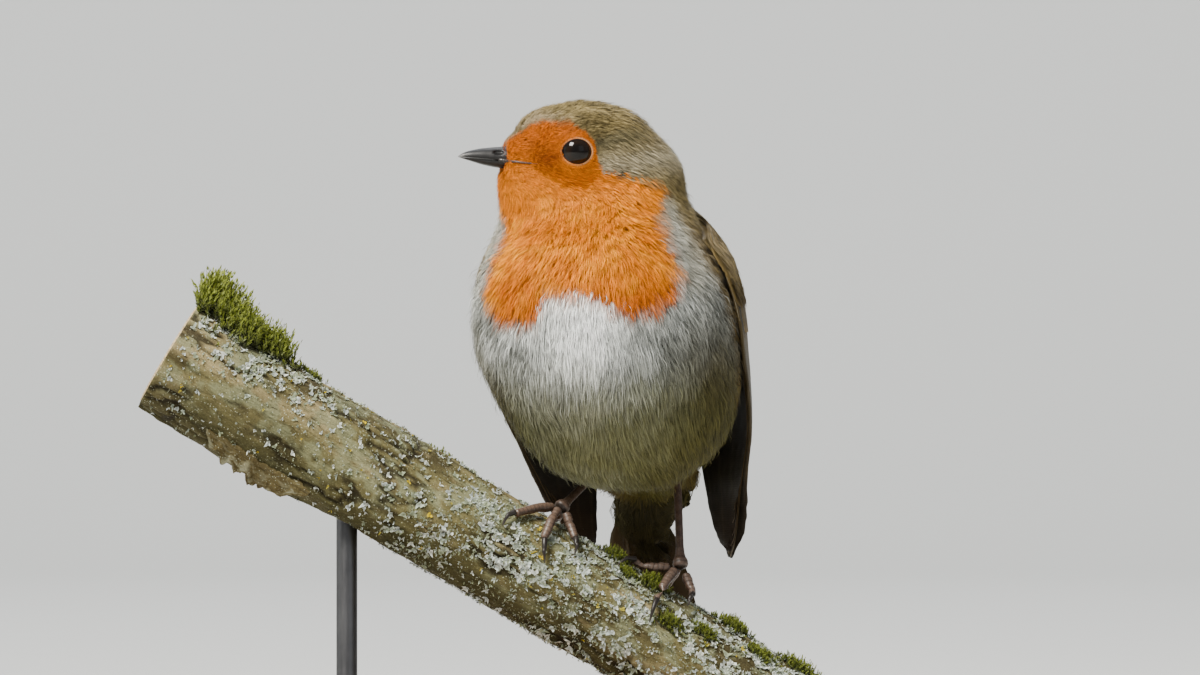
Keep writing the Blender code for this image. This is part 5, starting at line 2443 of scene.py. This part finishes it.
@dataclass
class Branch:
    """The cut length of branch: bark, crusts, moss and sawn ends."""

    stations: int = 318
    around: int = 166
    mean_radius: float = 10.5       # in millimetres
    seed: int = 61
    riches: float = 0.46            # how much more lichen grows where it is thickest
    strays: float = 0.060
    moss_dark: Tint = (0.018, 0.022, 0.003)
    moss_fresh: Tint = (0.165, 0.205, 0.008)
    moss_tip: Tint = (0.40, 0.42, 0.035)
    # Moss clumps: millimetres along from the branch's middle, degrees from its top toward the
    # front, half width and shoot length in millimetres, and number of shoots.
    clumps: Sequence[tuple[float, float, float, float, int]] = (
        (-70, 2, 5.2, 7.0, 800), (-63, 22, 3.4, 5.4, 330), (-77, 12, 3.2, 5.0, 240),
        (-57, 14, 2.9, 5.6, 260), (-84, 4, 3.0, 3.0, 200), (-48, 0, 2.0, 1.6, 80),
        (19, 4, 1.9, 2.0, 170), (22.5, 30, 1.4, 1.6, 90), (28, 22, 2.0, 2.2, 200),
        (34, 62, 1.7, 1.7, 120), (41, 48, 1.6, 1.5, 110), (45, 4, 2.4, 2.2, 200),
        (52, 30, 2.0, 1.6, 120), (60, 6, 2.8, 2.4, 220), (70, 10, 3.0, 2.4, 200),
        (-20, -30, 4.0, 1.3, 120), (-60, -60, 6.0, 1.6, 200), (35, -40, 4.0, 1.4, 120))

    def __post_init__(self) -> None:
        """Reads the branch's axis, and its reach at each station and angle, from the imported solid."""
        points = node_points("perch")
        self.middle = (points.min(axis=0) + points.max(axis=0)) / 2
        axis = np.linalg.svd(points - points.mean(axis=0))[2][0]
        self.axis = axis if axis[0] > 0 else -axis
        self.top = unit(UP - self.axis * self.axis[2])
        self.front = unit(np.cross(self.axis, self.top))
        if self.front[1] > 0:
            self.front = -self.front
        along = (points - self.middle) @ self.axis
        self.low, self.high = along.min(), along.max()
        tree = faces_of("perch")
        rows, columns, outside = 56, 48, 0.05
        cast = np.zeros((rows, columns))
        line = np.linspace(self.low + 0.4 * MM, self.high - 0.4 * MM, rows)
        for i, a in enumerate(line):
            for j in range(columns):
                way = self.way(2 * math.pi * j / columns)
                spot = self.middle + self.axis * a + way * outside
                hit = tree.ray_cast(Vector(spot), Vector(-way))
                cast[i, j] = 0.0 if hit[0] is None else outside - hit[3]
        cast = np.where(cast < 0.006, 0.0104, cast)
        for _ in range(2):
            cast = (np.roll(cast, 1, 1) + 2 * cast + np.roll(cast, -1, 1)) / 4
            cast[1:-1] = (cast[:-2] + 2 * cast[1:-1] + cast[2:]) / 4
        self.cast, self.cast_line = cast, line

    def way(self, angle: float | Array) -> Array:
        """The outward direction at an angle from the top toward the front."""
        return np.multiply.outer(np.cos(angle), self.top) + np.multiply.outer(np.sin(angle), self.front)

    def reach(self, along: Array, angle: Array) -> Array:
        """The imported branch's radius at places along it and angles round it.

        Args:
            along: places along the branch, in metres.
            angle: angles round it.

        Returns:
            One radius for each place, in metres.
        """
        rows, columns = self.cast.shape
        first, last = self.cast_line[[0, -1]]
        i = np.clip((along - first) / (last - first), 0, 1) * (rows - 1)
        j = (angle / (2 * math.pi)) % 1.0 * columns
        i0 = np.minimum(i.astype(int), rows - 2)
        j0 = j.astype(int) % columns
        fi, fj = i - i0, j - np.floor(j)
        j1 = (j0 + 1) % columns
        return ((self.cast[i0, j0] * (1 - fj) + self.cast[i0, j1] * fj) * (1 - fi)
                + (self.cast[i0 + 1, j0] * (1 - fj) + self.cast[i0 + 1, j1] * fj) * fi)

    def even_place(self, along: Array, angle: Array) -> Array:
        """Places on an even cylinder of the branch's mean girth, in millimetres, for the patterns."""
        girth = self.mean_radius
        return np.stack([along / MM, girth * np.cos(angle), girth * np.sin(angle)], axis=-1)

    def relief(self, along: Array, angle: Array) -> tuple[Array, Array, Array]:
        """The bark's relief.

        Args:
            along: places along the branch, in metres.
            angle: angles round it.

        Returns:
            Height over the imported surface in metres, how deep in a crack and how worn, 0 to 1.
        """
        local = self.even_place(along, angle)
        lumps = Grain(62).at(local, (16.0, 7.0, 7.0), 2)
        plates = Grain(63).at(local, (7.0, 2.2, 2.2), 3)
        fibres = Grain(64).at(local, (3.6, 0.9, 0.9), 3)
        pebble = Grain(65).at(local, 1.1, 2)
        crack = ramp(0.20, 0.03, np.abs(plates))
        crack = crack * ramp(-0.25, 0.35, Grain(66).at(local, (12.0, 6.0, 6.0)))
        crack = np.maximum(crack, 0.7 * ramp(-0.42, -0.62, fibres))
        worn = ramp(0.15, 0.55, Grain(67).at(local, (14.0, 5.0, 5.0), 2))
        height = 0.40 * lumps + 0.30 * plates + 0.22 * fibres * (1 - 0.6 * worn)
        height = height + 0.14 * pebble * (1 - worn) - 0.55 * crack - 0.12
        return height * MM, crack, worn

    def place(self, along: Array, angle: Array, lift: float | Array = 0.0) -> Array:
        """A place on the bark, raised by lift metres."""
        radius = self.reach(along, angle) + self.relief(along, angle)[0] + lift
        return self.middle + self.axis * along[..., None] + self.way(angle) * radius[..., None]

    def bark(self, finish: Material) -> Object:
        """The bark, closed by the sawn ends' rims.

        Args:
            finish: the bark's material.

        Returns:
            The bark.
        """
        stations = np.linspace(self.low, self.high, self.stations)
        along, angle = np.meshgrid(stations, turns(self.around), indexing="ij")
        points = self.place(along, angle)
        _, crack, worn = self.relief(along, angle)
        local = self.even_place(along, angle)
        patch = Grain(68).at(local, (9.0, 4.5, 4.5), 3)
        fleck = Grain(69).at(local, (2.4, 1.0, 1.0), 3)
        bare = np.clip(worn * 0.7 + ramp(0.2, 0.7, fleck) * 0.4, 0, 1)
        shade = ramp(0.5, -0.6, np.cos(angle - 0.5))
        dried = Grain(70).at(local, (3.4, 2.0, 2.0), 3) + 0.25 * np.cos(angle - 0.9)
        crust = ramp(0.18, 0.42, dried) * (1 - shade)
        colour = layered(
            (0.122, 0.106, 0.042),
            ((0.045, 0.036, 0.013), ramp(-0.20, 0.40, patch) * 0.92),   # damp, dark patches
            ((0.31, 0.25, 0.125), bare),                                # worn, pale wood
            ((0.040, 0.038, 0.012), 0.85 * shade),                      # painted shade on the underside, green-black
            ((0.20, 0.21, 0.115), 0.65 * crust),
            ((0.014, 0.010, 0.004), 0.9 * crack))
        quads = grid_faces(self.stations, self.around)
        obj = mesh_object("perch_bark", points.reshape(-1, 3), [quads], finish)
        paint(obj.data, colour)
        bm = bmesh.new()
        bm.from_mesh(obj.data)
        bmesh.ops.holes_fill(bm, edges=[edge for edge in bm.edges if edge.is_boundary], sides=0)
        bmesh.ops.recalc_face_normals(bm, faces=bm.faces)
        bm.to_mesh(obj.data)
        bm.free()
        return obj

    def end_grain(self, finish: Material) -> Object:
        """Two sawn faces just inside the rims of the bark.

        Args:
            finish: the sawn wood's material.

        Returns:
            Both faces as one piece.
        """
        around, shares = 96, (0.25, 0.5, 0.75, 0.97, 1.0)
        middle = around * len(shares)
        turn = np.arange(around)
        points, quads, tris = [], [], []
        for end, way in ((self.low, -1.0), (self.high, 1.0)):
            rim = self.place(np.full(around, end), turns(around), -1.1 * MM)
            centre = self.middle + self.axis * end
            proud = self.axis * way * 0.35 * MM
            points += [centre + (rim - centre) * share + proud * (share < 1.0) for share in shares]
            points.append((centre + proud)[None])
            face = grid_faces(len(shares), around)[:, [0, 3, 2, 1]]
            cap = np.stack([np.roll(turn, -1), turn, np.full(around, middle)], -1)
            start = (middle + 1) * len(quads)
            quads.append(start + (face[:, ::-1] if way > 0 else face))
            tris.append(start + (cap[:, ::-1] if way > 0 else cap))
        faces = [np.concatenate(quads), np.concatenate(tris)]
        return mesh_object("perch_sawn_ends", np.concatenate(points), faces, finish)

    def flakes(self, name: str, count: int, size: tuple[float, float], tints: Sequence[Tint],
               cover: float, finish: Material, seed: int) -> Object:
        """Small curled flakes of lichen, gathered in patches.

        Args:
            name: the piece's name.
            count: flakes tried; those outside the patches are left out.
            size: smallest and largest half width, in millimetres.
            tints: colours to choose from.
            cover: how far the patches spread, higher for less.
            finish: the crust's material.
            seed: picks the places.

        Returns:
            The flakes' piece.
        """
        rng = np.random.default_rng(seed)
        along = rng.uniform(self.low + 1.2 * MM, self.high - 1.2 * MM, count)
        angle = rng.normal(1.0, 1.2, count)
        local = self.even_place(along, angle)
        x = (self.middle[0] + along * self.axis[0]) / MM
        patch = Grain(seed + 1).at(local, (7.0, 3.0, 3.0), 3)
        clump = Grain(seed + 2).at(local, (2.2, 1.3, 1.3), 2)
        # Thickest along the lower side and by the knot at the branch's far end.
        low_side = ramp(-44.0, -20.0, x + 9.0 * np.cos(angle - 2.0))
        knot = ramp(-50.0, -60.0, x) * bell(angle, 0.65, 0.62)
        rich = np.maximum(low_side, knot)
        kept = 0.70 * patch + 0.70 * clump + rng.uniform(-0.10, 0.10, count) > cover - self.riches * rich
        kept |= rng.random(count) < self.strays * ramp(2.6, 1.8, np.abs(angle - 0.8))
        along, angle, rich = along[kept], angle[kept], rich[kept]
        count = len(along)
        # Each flake is a lobed disc: a middle, an inner ring and a curled rim.
        rays = 10 if size[1] > 0.5 else 7
        half = size[0] + (size[1] - size[0]) * rng.random(count) ** 2.0 * (0.55 + 0.45 * rich)
        spin = rng.uniform(0, 2 * math.pi, (count, 1)) + np.arange(rays) * 2 * math.pi / rays
        spin = spin + rng.uniform(-0.14, 0.14, (count, rays))
        shift = rng.uniform(0, 2 * math.pi, (count, 3))
        lobe = (0.5 * np.cos(2 * spin + shift[:, :1]) + 0.6 * np.cos(3 * spin + shift[:, 1:2])
                + 0.4 * np.cos(5 * spin + shift[:, 2:]))
        wobble = np.clip(0.80 + 0.48 * lobe + rng.uniform(-0.12, 0.12, (count, rays)), 0.25, 1.6)
        lobe = ramp(-0.2, 0.8, lobe)
        chosen = np.array(tints)[rng.integers(0, len(tints), count)]
        chosen = chosen * rng.uniform(0.70, 1.15, (count, 1))
        centre = self.place(along, angle, 0.05 * MM)
        points, tint = [centre[:, None]], [(0.55 * chosen)[:, None]]
        tilt = rng.uniform(0.10, 0.70, (count, rays)) * (0.2 + 0.8 * lobe)
        for share, lift in ((0.5, 0.22), (1.0, 0.10)):
            reach = half[:, None] * share * (wobble if share == 1.0 else 0.35 + 0.55 * wobble) * MM
            a = along[:, None] + np.cos(spin) * reach
            b = angle[:, None] + np.sin(spin) * reach / (self.mean_radius * MM)
            curl = tilt if share == 1.0 else 0.15 * tilt
            a = np.clip(a, self.low + 0.2 * MM, self.high - 0.2 * MM)
            points.append(self.place(a, b, (lift + curl) * MM))
            rim = (0.85 + 0.45 * lobe if share == 1.0 else 0.70 + 0.10 * lobe)[:, :, None]
            tint.append(chosen[:, None] * rim * np.ones((count, rays, 1)))
        every = np.concatenate(points, axis=1)
        size_each = 1 + 2 * rays
        start = (np.arange(count) * size_each)[:, None, None]
        ray = np.arange(rays) + 1
        beside = np.roll(ray, -1)
        tris = start + np.stack([np.zeros(rays, int), ray, beside], -1)
        quads = start + np.stack([ray, rays + ray, rays + beside, beside], -1)
        faces = [tris.reshape(-1, 3), quads.reshape(-1, 4)]
        obj = mesh_object(name, every.reshape(-1, 3), faces, finish)
        paint(obj.data, np.concatenate(tint, axis=1))
        face_outward(obj)
        return obj

    def peel(self, finish: Material) -> Object:
        """A strip of bark that has come away along the branch's lower edge.

        Args:
            finish: the bark's material.

        Returns:
            The strip.
        """
        rows, columns = 130, 22
        t, u = np.meshgrid(np.linspace(0.0, 1.0, rows), np.linspace(0.0, 1.0, columns), indexing="ij")
        first, last = (-0.0715 - self.middle[0]) / self.axis[0], (-0.052 - self.middle[0]) / self.axis[0]
        along = first + (last - first) * t
        body = np.sin(math.pi * t) ** 0.5
        ragged = Grain(81).at(np.stack([along / MM, 0 * u, 0 * u], -1), (1.6, 1.0, 1.0), 3)
        reach = body * (0.62 + 0.30 * ragged)
        angle = 2.45 + 0.75 * u * reach + 0.06 * ragged
        pucker = Grain(82).at(np.stack([along / MM, 9 * u, 0 * u], -1), (2.0, 1.2, 1.0), 2)
        lift = (0.05 + (1.7 * u ** 1.6 + 0.35 * pucker * u) * body) * MM
        points = self.place(along, angle, lift)
        quads = grid_faces(rows, columns, ring=False)[:, [0, 3, 2, 1]]
        obj = mesh_object("perch_peeling_bark", points.reshape(-1, 3), [quads], finish)
        paint(obj.data, blend((0.10, 0.078, 0.030), (0.23, 0.225, 0.14), ramp(0.0, 0.5, pucker) * u))
        thicken(obj, 0.45 * MM)
        face_outward(obj)
        return obj

    def moss(self, finish: Material) -> Object:
        """Moss shoots in clumps.

        Args:
            finish: the moss's material.

        Returns:
            The moss.
        """
        rng = np.random.default_rng(self.seed + 20)
        leaves = 10
        rows, colours = [], []
        for middle, turn, spread, tall, count in self.clumps:
            away = rng.normal(0.0, 0.5, (count, 2)) * spread
            along = np.clip((middle + away[:, 0] * 1.5) * MM, self.low + MM, self.high - MM)
            angle = np.radians(turn) + away[:, 1] / self.mean_radius
            root = self.place(along, angle, -0.1 * MM)
            normal = self.way(angle)
            stem = unit(0.75 * UP + normal + 0.40 * rng.standard_normal((count, 3)))
            length = tall * rng.uniform(0.5, 1.2, count) * MM
            length = length * np.exp(-0.5 * (away ** 2).sum(1) / spread ** 2)
            length = np.maximum(length, 0.45 * MM)
            side = unit(np.cross(stem, rng.standard_normal((count, 3))))
            other = np.cross(stem, side)
            for leaf in range(leaves):
                share = 0.12 + 0.88 * leaf / (leaves - 1)
                spin = leaf * 2.4 + rng.uniform(0, 0.6, count)
                out = side * np.cos(spin)[:, None] + other * np.sin(spin)[:, None]
                base = root + stem * (length * share)[:, None]
                point = unit(out * (0.95 - 0.6 * share) + stem * (0.55 + 0.6 * share))
                reach = (0.45 + 0.11 * tall) * MM * (1.05 - 0.45 * share)
                reach = reach * rng.uniform(0.8, 1.2, (count, 1))
                wide = np.cross(point, stem)
                wide = unit(wide) * reach * 0.20
                tip = base + point * reach + stem * reach * 0.2
                mid = base + point * reach * 0.5
                blade = [base - 0.6 * wide, base + 0.6 * wide, mid - wide, mid + wide, tip]
                rows.append(np.stack(blade, axis=1))
                fresh = np.clip(share * rng.uniform(0.6, 1.2, count), 0, 1)
                low = blend(self.moss_dark, self.moss_fresh, fresh)
                high = blend(low, self.moss_tip, 0.55 * fresh)
                colours.append(np.stack([low, low, low, low, high], axis=1))
        points = np.concatenate(rows).reshape(-1, 3)
        start = (np.arange(len(points) // 5) * 5)[:, None]
        obj = mesh_object("moss", points, [start + (0, 1, 3, 2), start + (2, 3, 4)], finish)
        paint(obj.data, np.concatenate(colours))
        return obj


@dataclass
class Stand:
    """The base's wood and the two rods with their collars."""

    collar_height: float = 1.2 * MM
    collar_out: float = 1.1 * MM

    def rod(self, node: str, finish: Material) -> Object:
        """A round rod with a low collar where it leaves the base.

        Args:
            node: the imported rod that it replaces.
            finish: the steel.

        Returns:
            The rod.
        """
        low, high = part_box(node)
        base_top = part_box("stand_base")[1][2]
        x, y = (low[0] + high[0]) / 2, (low[1] + high[1]) / 2
        radius = (high[0] - low[0]) / 2
        deselect()
        bpy.ops.mesh.primitive_cylinder_add(vertices=64, radius=radius, depth=high[2] - low[2],
                                            location=(x, y, (low[2] + high[2]) / 2))
        rod = bpy.context.object
        rod.name = node + "_turned"
        bpy.ops.object.mode_set(mode="EDIT")
        bpy.ops.mesh.select_all(action="SELECT")
        bpy.ops.mesh.bisect(plane_co=(x, y, base_top + self.collar_height), plane_no=(0, 0, 1))
        bpy.ops.mesh.select_all(action="SELECT")
        bpy.ops.mesh.bisect(plane_co=(x, y, base_top + 0.02 * MM), plane_no=(0, 0, 1))
        bpy.ops.object.mode_set(mode="OBJECT")
        mesh = rod.data
        for face in mesh.polygons:
            middle = face.center.z + (low[2] + high[2]) / 2
            face.select = abs(face.normal.z) < 0.1 and base_top < middle < base_top + self.collar_height
        bpy.ops.object.mode_set(mode="EDIT")
        bpy.ops.mesh.select_mode(type="FACE")
        bpy.ops.mesh.extrude_region_shrink_fatten(TRANSFORM_OT_shrink_fatten={"value": self.collar_out})
        bpy.ops.object.mode_set(mode="OBJECT")
        bevel = rod.modifiers.new("soft_edges", "BEVEL")
        bevel.width = 0.25 * MM
        bevel.segments = 3
        bevel.limit_method = "ANGLE"
        apply_all(rod)
        settle_transform()
        bpy.ops.object.shade_smooth_by_angle(angle=math.radians(35))
        cover(rod, finish)
        return rod

    def build(self, wood: Material, steel: Material) -> None:
        """Dresses the base and makes the rods.

        Args:
            wood: the base's material.
            steel: the rods' material.
        """
        cover(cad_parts["stand_base"], wood)
        for node in ("stand_rod_1", "stand_rod_2"):
            settle(self.rod(node, steel), (node,))


# ---------------------------------------------------------------- floor, lights and camera
@dataclass
class Studio:
    """A pale floor, soft light and the camera."""

    distance: float = 1.9
    lens: float = 300.0
    view_height: float = 0.109
    room: float = 12.0
    back: float = 3.8
    wall: float = 3.5

    def build(self, middle: Array) -> None:
        """Places the floor, the lights and the camera, which faces the middle.

        Args:
            middle: the place that the camera faces.
        """
        deselect()
        bpy.ops.mesh.primitive_plane_add(size=self.room, location=(0.0, self.back - self.room / 2, 0.0))
        floor = bpy.context.object
        floor.name = "floor"
        settle_transform()
        bpy.ops.object.mode_set(mode="EDIT")
        bpy.ops.mesh.select_mode(type="EDGE")
        bpy.ops.mesh.select_all(action="DESELECT")
        bpy.ops.object.mode_set(mode="OBJECT")
        for edge in floor.data.edges:
            ends = [floor.data.vertices[number].co for number in edge.vertices]
            edge.select = (min(end.y for end in ends) > self.back - 0.01
                           or max(end.x for end in ends) < 0.01 - self.room / 2)
        bpy.ops.object.mode_set(mode="EDIT")
        bpy.ops.mesh.extrude_region_move(TRANSFORM_OT_translate={"value": (0.0, 0.0, self.wall)})
        bpy.ops.object.mode_set(mode="OBJECT")
        sweep = floor.modifiers.new("sweep", "BEVEL")
        sweep.width = 1.1
        sweep.segments = 24
        apply_all(floor)
        bpy.ops.object.shade_smooth()
        shader = Shader("studio_floor")
        speckle = shader.noise(shader.where(), 0.02, 2.0)
        floor.data.materials.append(shader.finish((0.52, 0.52, 0.50), 0.75 + 0.1 * speckle))
        world = bpy.data.worlds.new("studio_light")
        bpy.context.scene.world = world
        world.use_nodes = True
        backing = world.node_tree.nodes["Background"]
        backing.inputs["Color"].default_value = (0.86, 0.90, 0.96, 1.0)
        backing.inputs["Strength"].default_value = 0.30
        cool = (0.97, 0.985, 1.0)
        self.lamp("key", (-0.62, -0.72, 1.35), 0.60, 72.0, (1.0, 0.965, 0.90), middle)
        self.lamp("fill", (0.95, -0.95, 0.65), 0.9, 1.5, (0.93, 0.97, 1.0), middle)
        self.lamp("rim", (0.45, 0.9, 1.0), 0.6, 9.0, (1.0, 0.99, 0.96), middle)
        self.lamp("wall", (0.0, 1.5, 2.4), 1.6, 120.0, cool, (0.0, 3.4, 0.8))
        self.lamp("side_wall", (-3.4, 0.0, 2.6), 1.8, 150.0, cool, (-5.8, 0.0, 0.9))
        deselect()
        bpy.ops.object.camera_add(location=(middle[0], middle[1] - self.distance, self.view_height),
                                  rotation=(math.pi / 2, 0.0, 0.0))
        camera = bpy.context.object
        camera.data.lens = self.lens
        camera.data.sensor_width = 36.0
        camera.data.clip_start = 0.01
        bpy.context.scene.camera = camera

    def lamp(self, name: str, place: Sequence[float], size: float, power: float, colour: Tint,
             target: Sequence[float]) -> None:
        """Adds a square soft light aimed at a place.

        Args:
            name: the lamp's name.
            place: where it stands, in metres.
            size: its width, in metres.
            power: in watts.
            colour: linear red, green and blue.
            target: what it is aimed at.
        """
        deselect()
        aim = Vector(target) - Vector(place)
        turn = aim.to_track_quat("-Z", "Y").to_euler()
        bpy.ops.object.light_add(type="AREA", location=place, rotation=turn)
        light = bpy.context.object
        light.name = "light_" + name
        light.data.size = size
        light.data.energy = power
        light.data.color = colour


def main() -> None:
    """Builds the bird, its branch and its stand in order."""
    places = Places()
    plumage = Plumage(places)
    feather = FeatherFinish("soft_feather").build()
    middle = np.array((-0.0019, 0.0, 0.109))
    Studio().build(middle)
    skin = Skin(plumage).build(feather)
    settle(skin, ("head", "neck", "trunk", "thigh_left", "thigh_right"))
    for piece in Coat(plumage, skin).build(feather):
        settle(piece)
    vane = VaneFinish("stiff_feather").build()
    for side_name, sign in SIDES:
        wing = Wing(side_name, sign, places)
        core, feathers = wing.build(vane)
        settle(core, ("wing_" + side_name,))
        settle(feathers)
        settle(wing.scapulars(feather))
    settle(Tail().build(vane), ("tail",))
    horn = HornFinish("dark_horn").build()
    wet = EyeFinish("wet_eye").build()
    leather = LegFinish("scaly_leg").build()
    tree = BVHTree.FromObject(skin, bpy.context.evaluated_depsgraph_get())
    for side_name, sign in SIDES:
        eye = Eye(side_name, sign, plumage)
        settle(eye.ball(wet), ("eye_" + side_name,))
        settle(eye.lid(feather))
        settle(eye.ring_feathers(feather))
        Leg(side_name).build(leather, horn)
    bill = Bill(places)
    settle(bill.mandible("bill_upper", True, horn), ("bill_upper",))
    settle(bill.mandible("bill_lower", False, horn), ("bill_lower",))
    for sign in (1.0, -1.0):
        settle(bill.gape_fold(sign, tree, leather))
    branch = Branch()
    slope = math.atan2(branch.axis[2], branch.axis[0])
    bark = BarkFinish("weathered_bark", slope).build()
    settle(branch.bark(bark), ("perch",))
    sawn = WoodFinish("sawn_branch", (0.50, 0.39, 0.23), (0.30, 0.20, 0.10), 1.1, (0.0, slope, 0.0),
                      roughness=0.75, coat=0.0).build()
    settle(branch.end_grain(sawn))
    crust = GrowthFinish("lichen_crust", (3.2, 4.0, 0.65), (0.70, 0.60), (0.85, 0.10), 0.18, 0.2).build()
    blue = [(0.52, 0.57, 0.53), (0.60, 0.63, 0.56), (0.40, 0.45, 0.36), (0.30, 0.34, 0.22)]
    settle(branch.flakes("lichen_flakes", 17000, (0.22, 0.88), blue, 0.56, crust, 71))
    grey = [(0.36, 0.40, 0.28), (0.25, 0.28, 0.16), (0.44, 0.47, 0.38)]
    settle(branch.flakes("lichen_crumbs", 12000, (0.12, 0.38), grey, 0.46, crust, 73))
    yellow = [(0.55, 0.40, 0.012), (0.48, 0.40, 0.05)]
    settle(branch.flakes("yellow_lichen", 1500, (0.22, 0.60), yellow, 0.95, crust, 75))
    settle(branch.peel(bark))
    leafy = GrowthFinish("green_moss", (1.4, 3.0, 0.55), (0.75, 0.50), (0.50, 0.20), 0.02, 0.5, 0.1)
    settle(branch.moss(leafy.build()))
    oak = WoodFinish("oiled_wood", (0.30, 0.145, 0.060), (0.145, 0.060, 0.022), 4.2, (0.0, 0.0, 0.0),
                     (0.0, 18.0, 55.0)).build()
    Stand().build(oak, SteelFinish("dark_steel").build())


if __name__ == "__main__":
    logging.basicConfig(level=logging.INFO, format="%(name)s %(message)s")
    main()
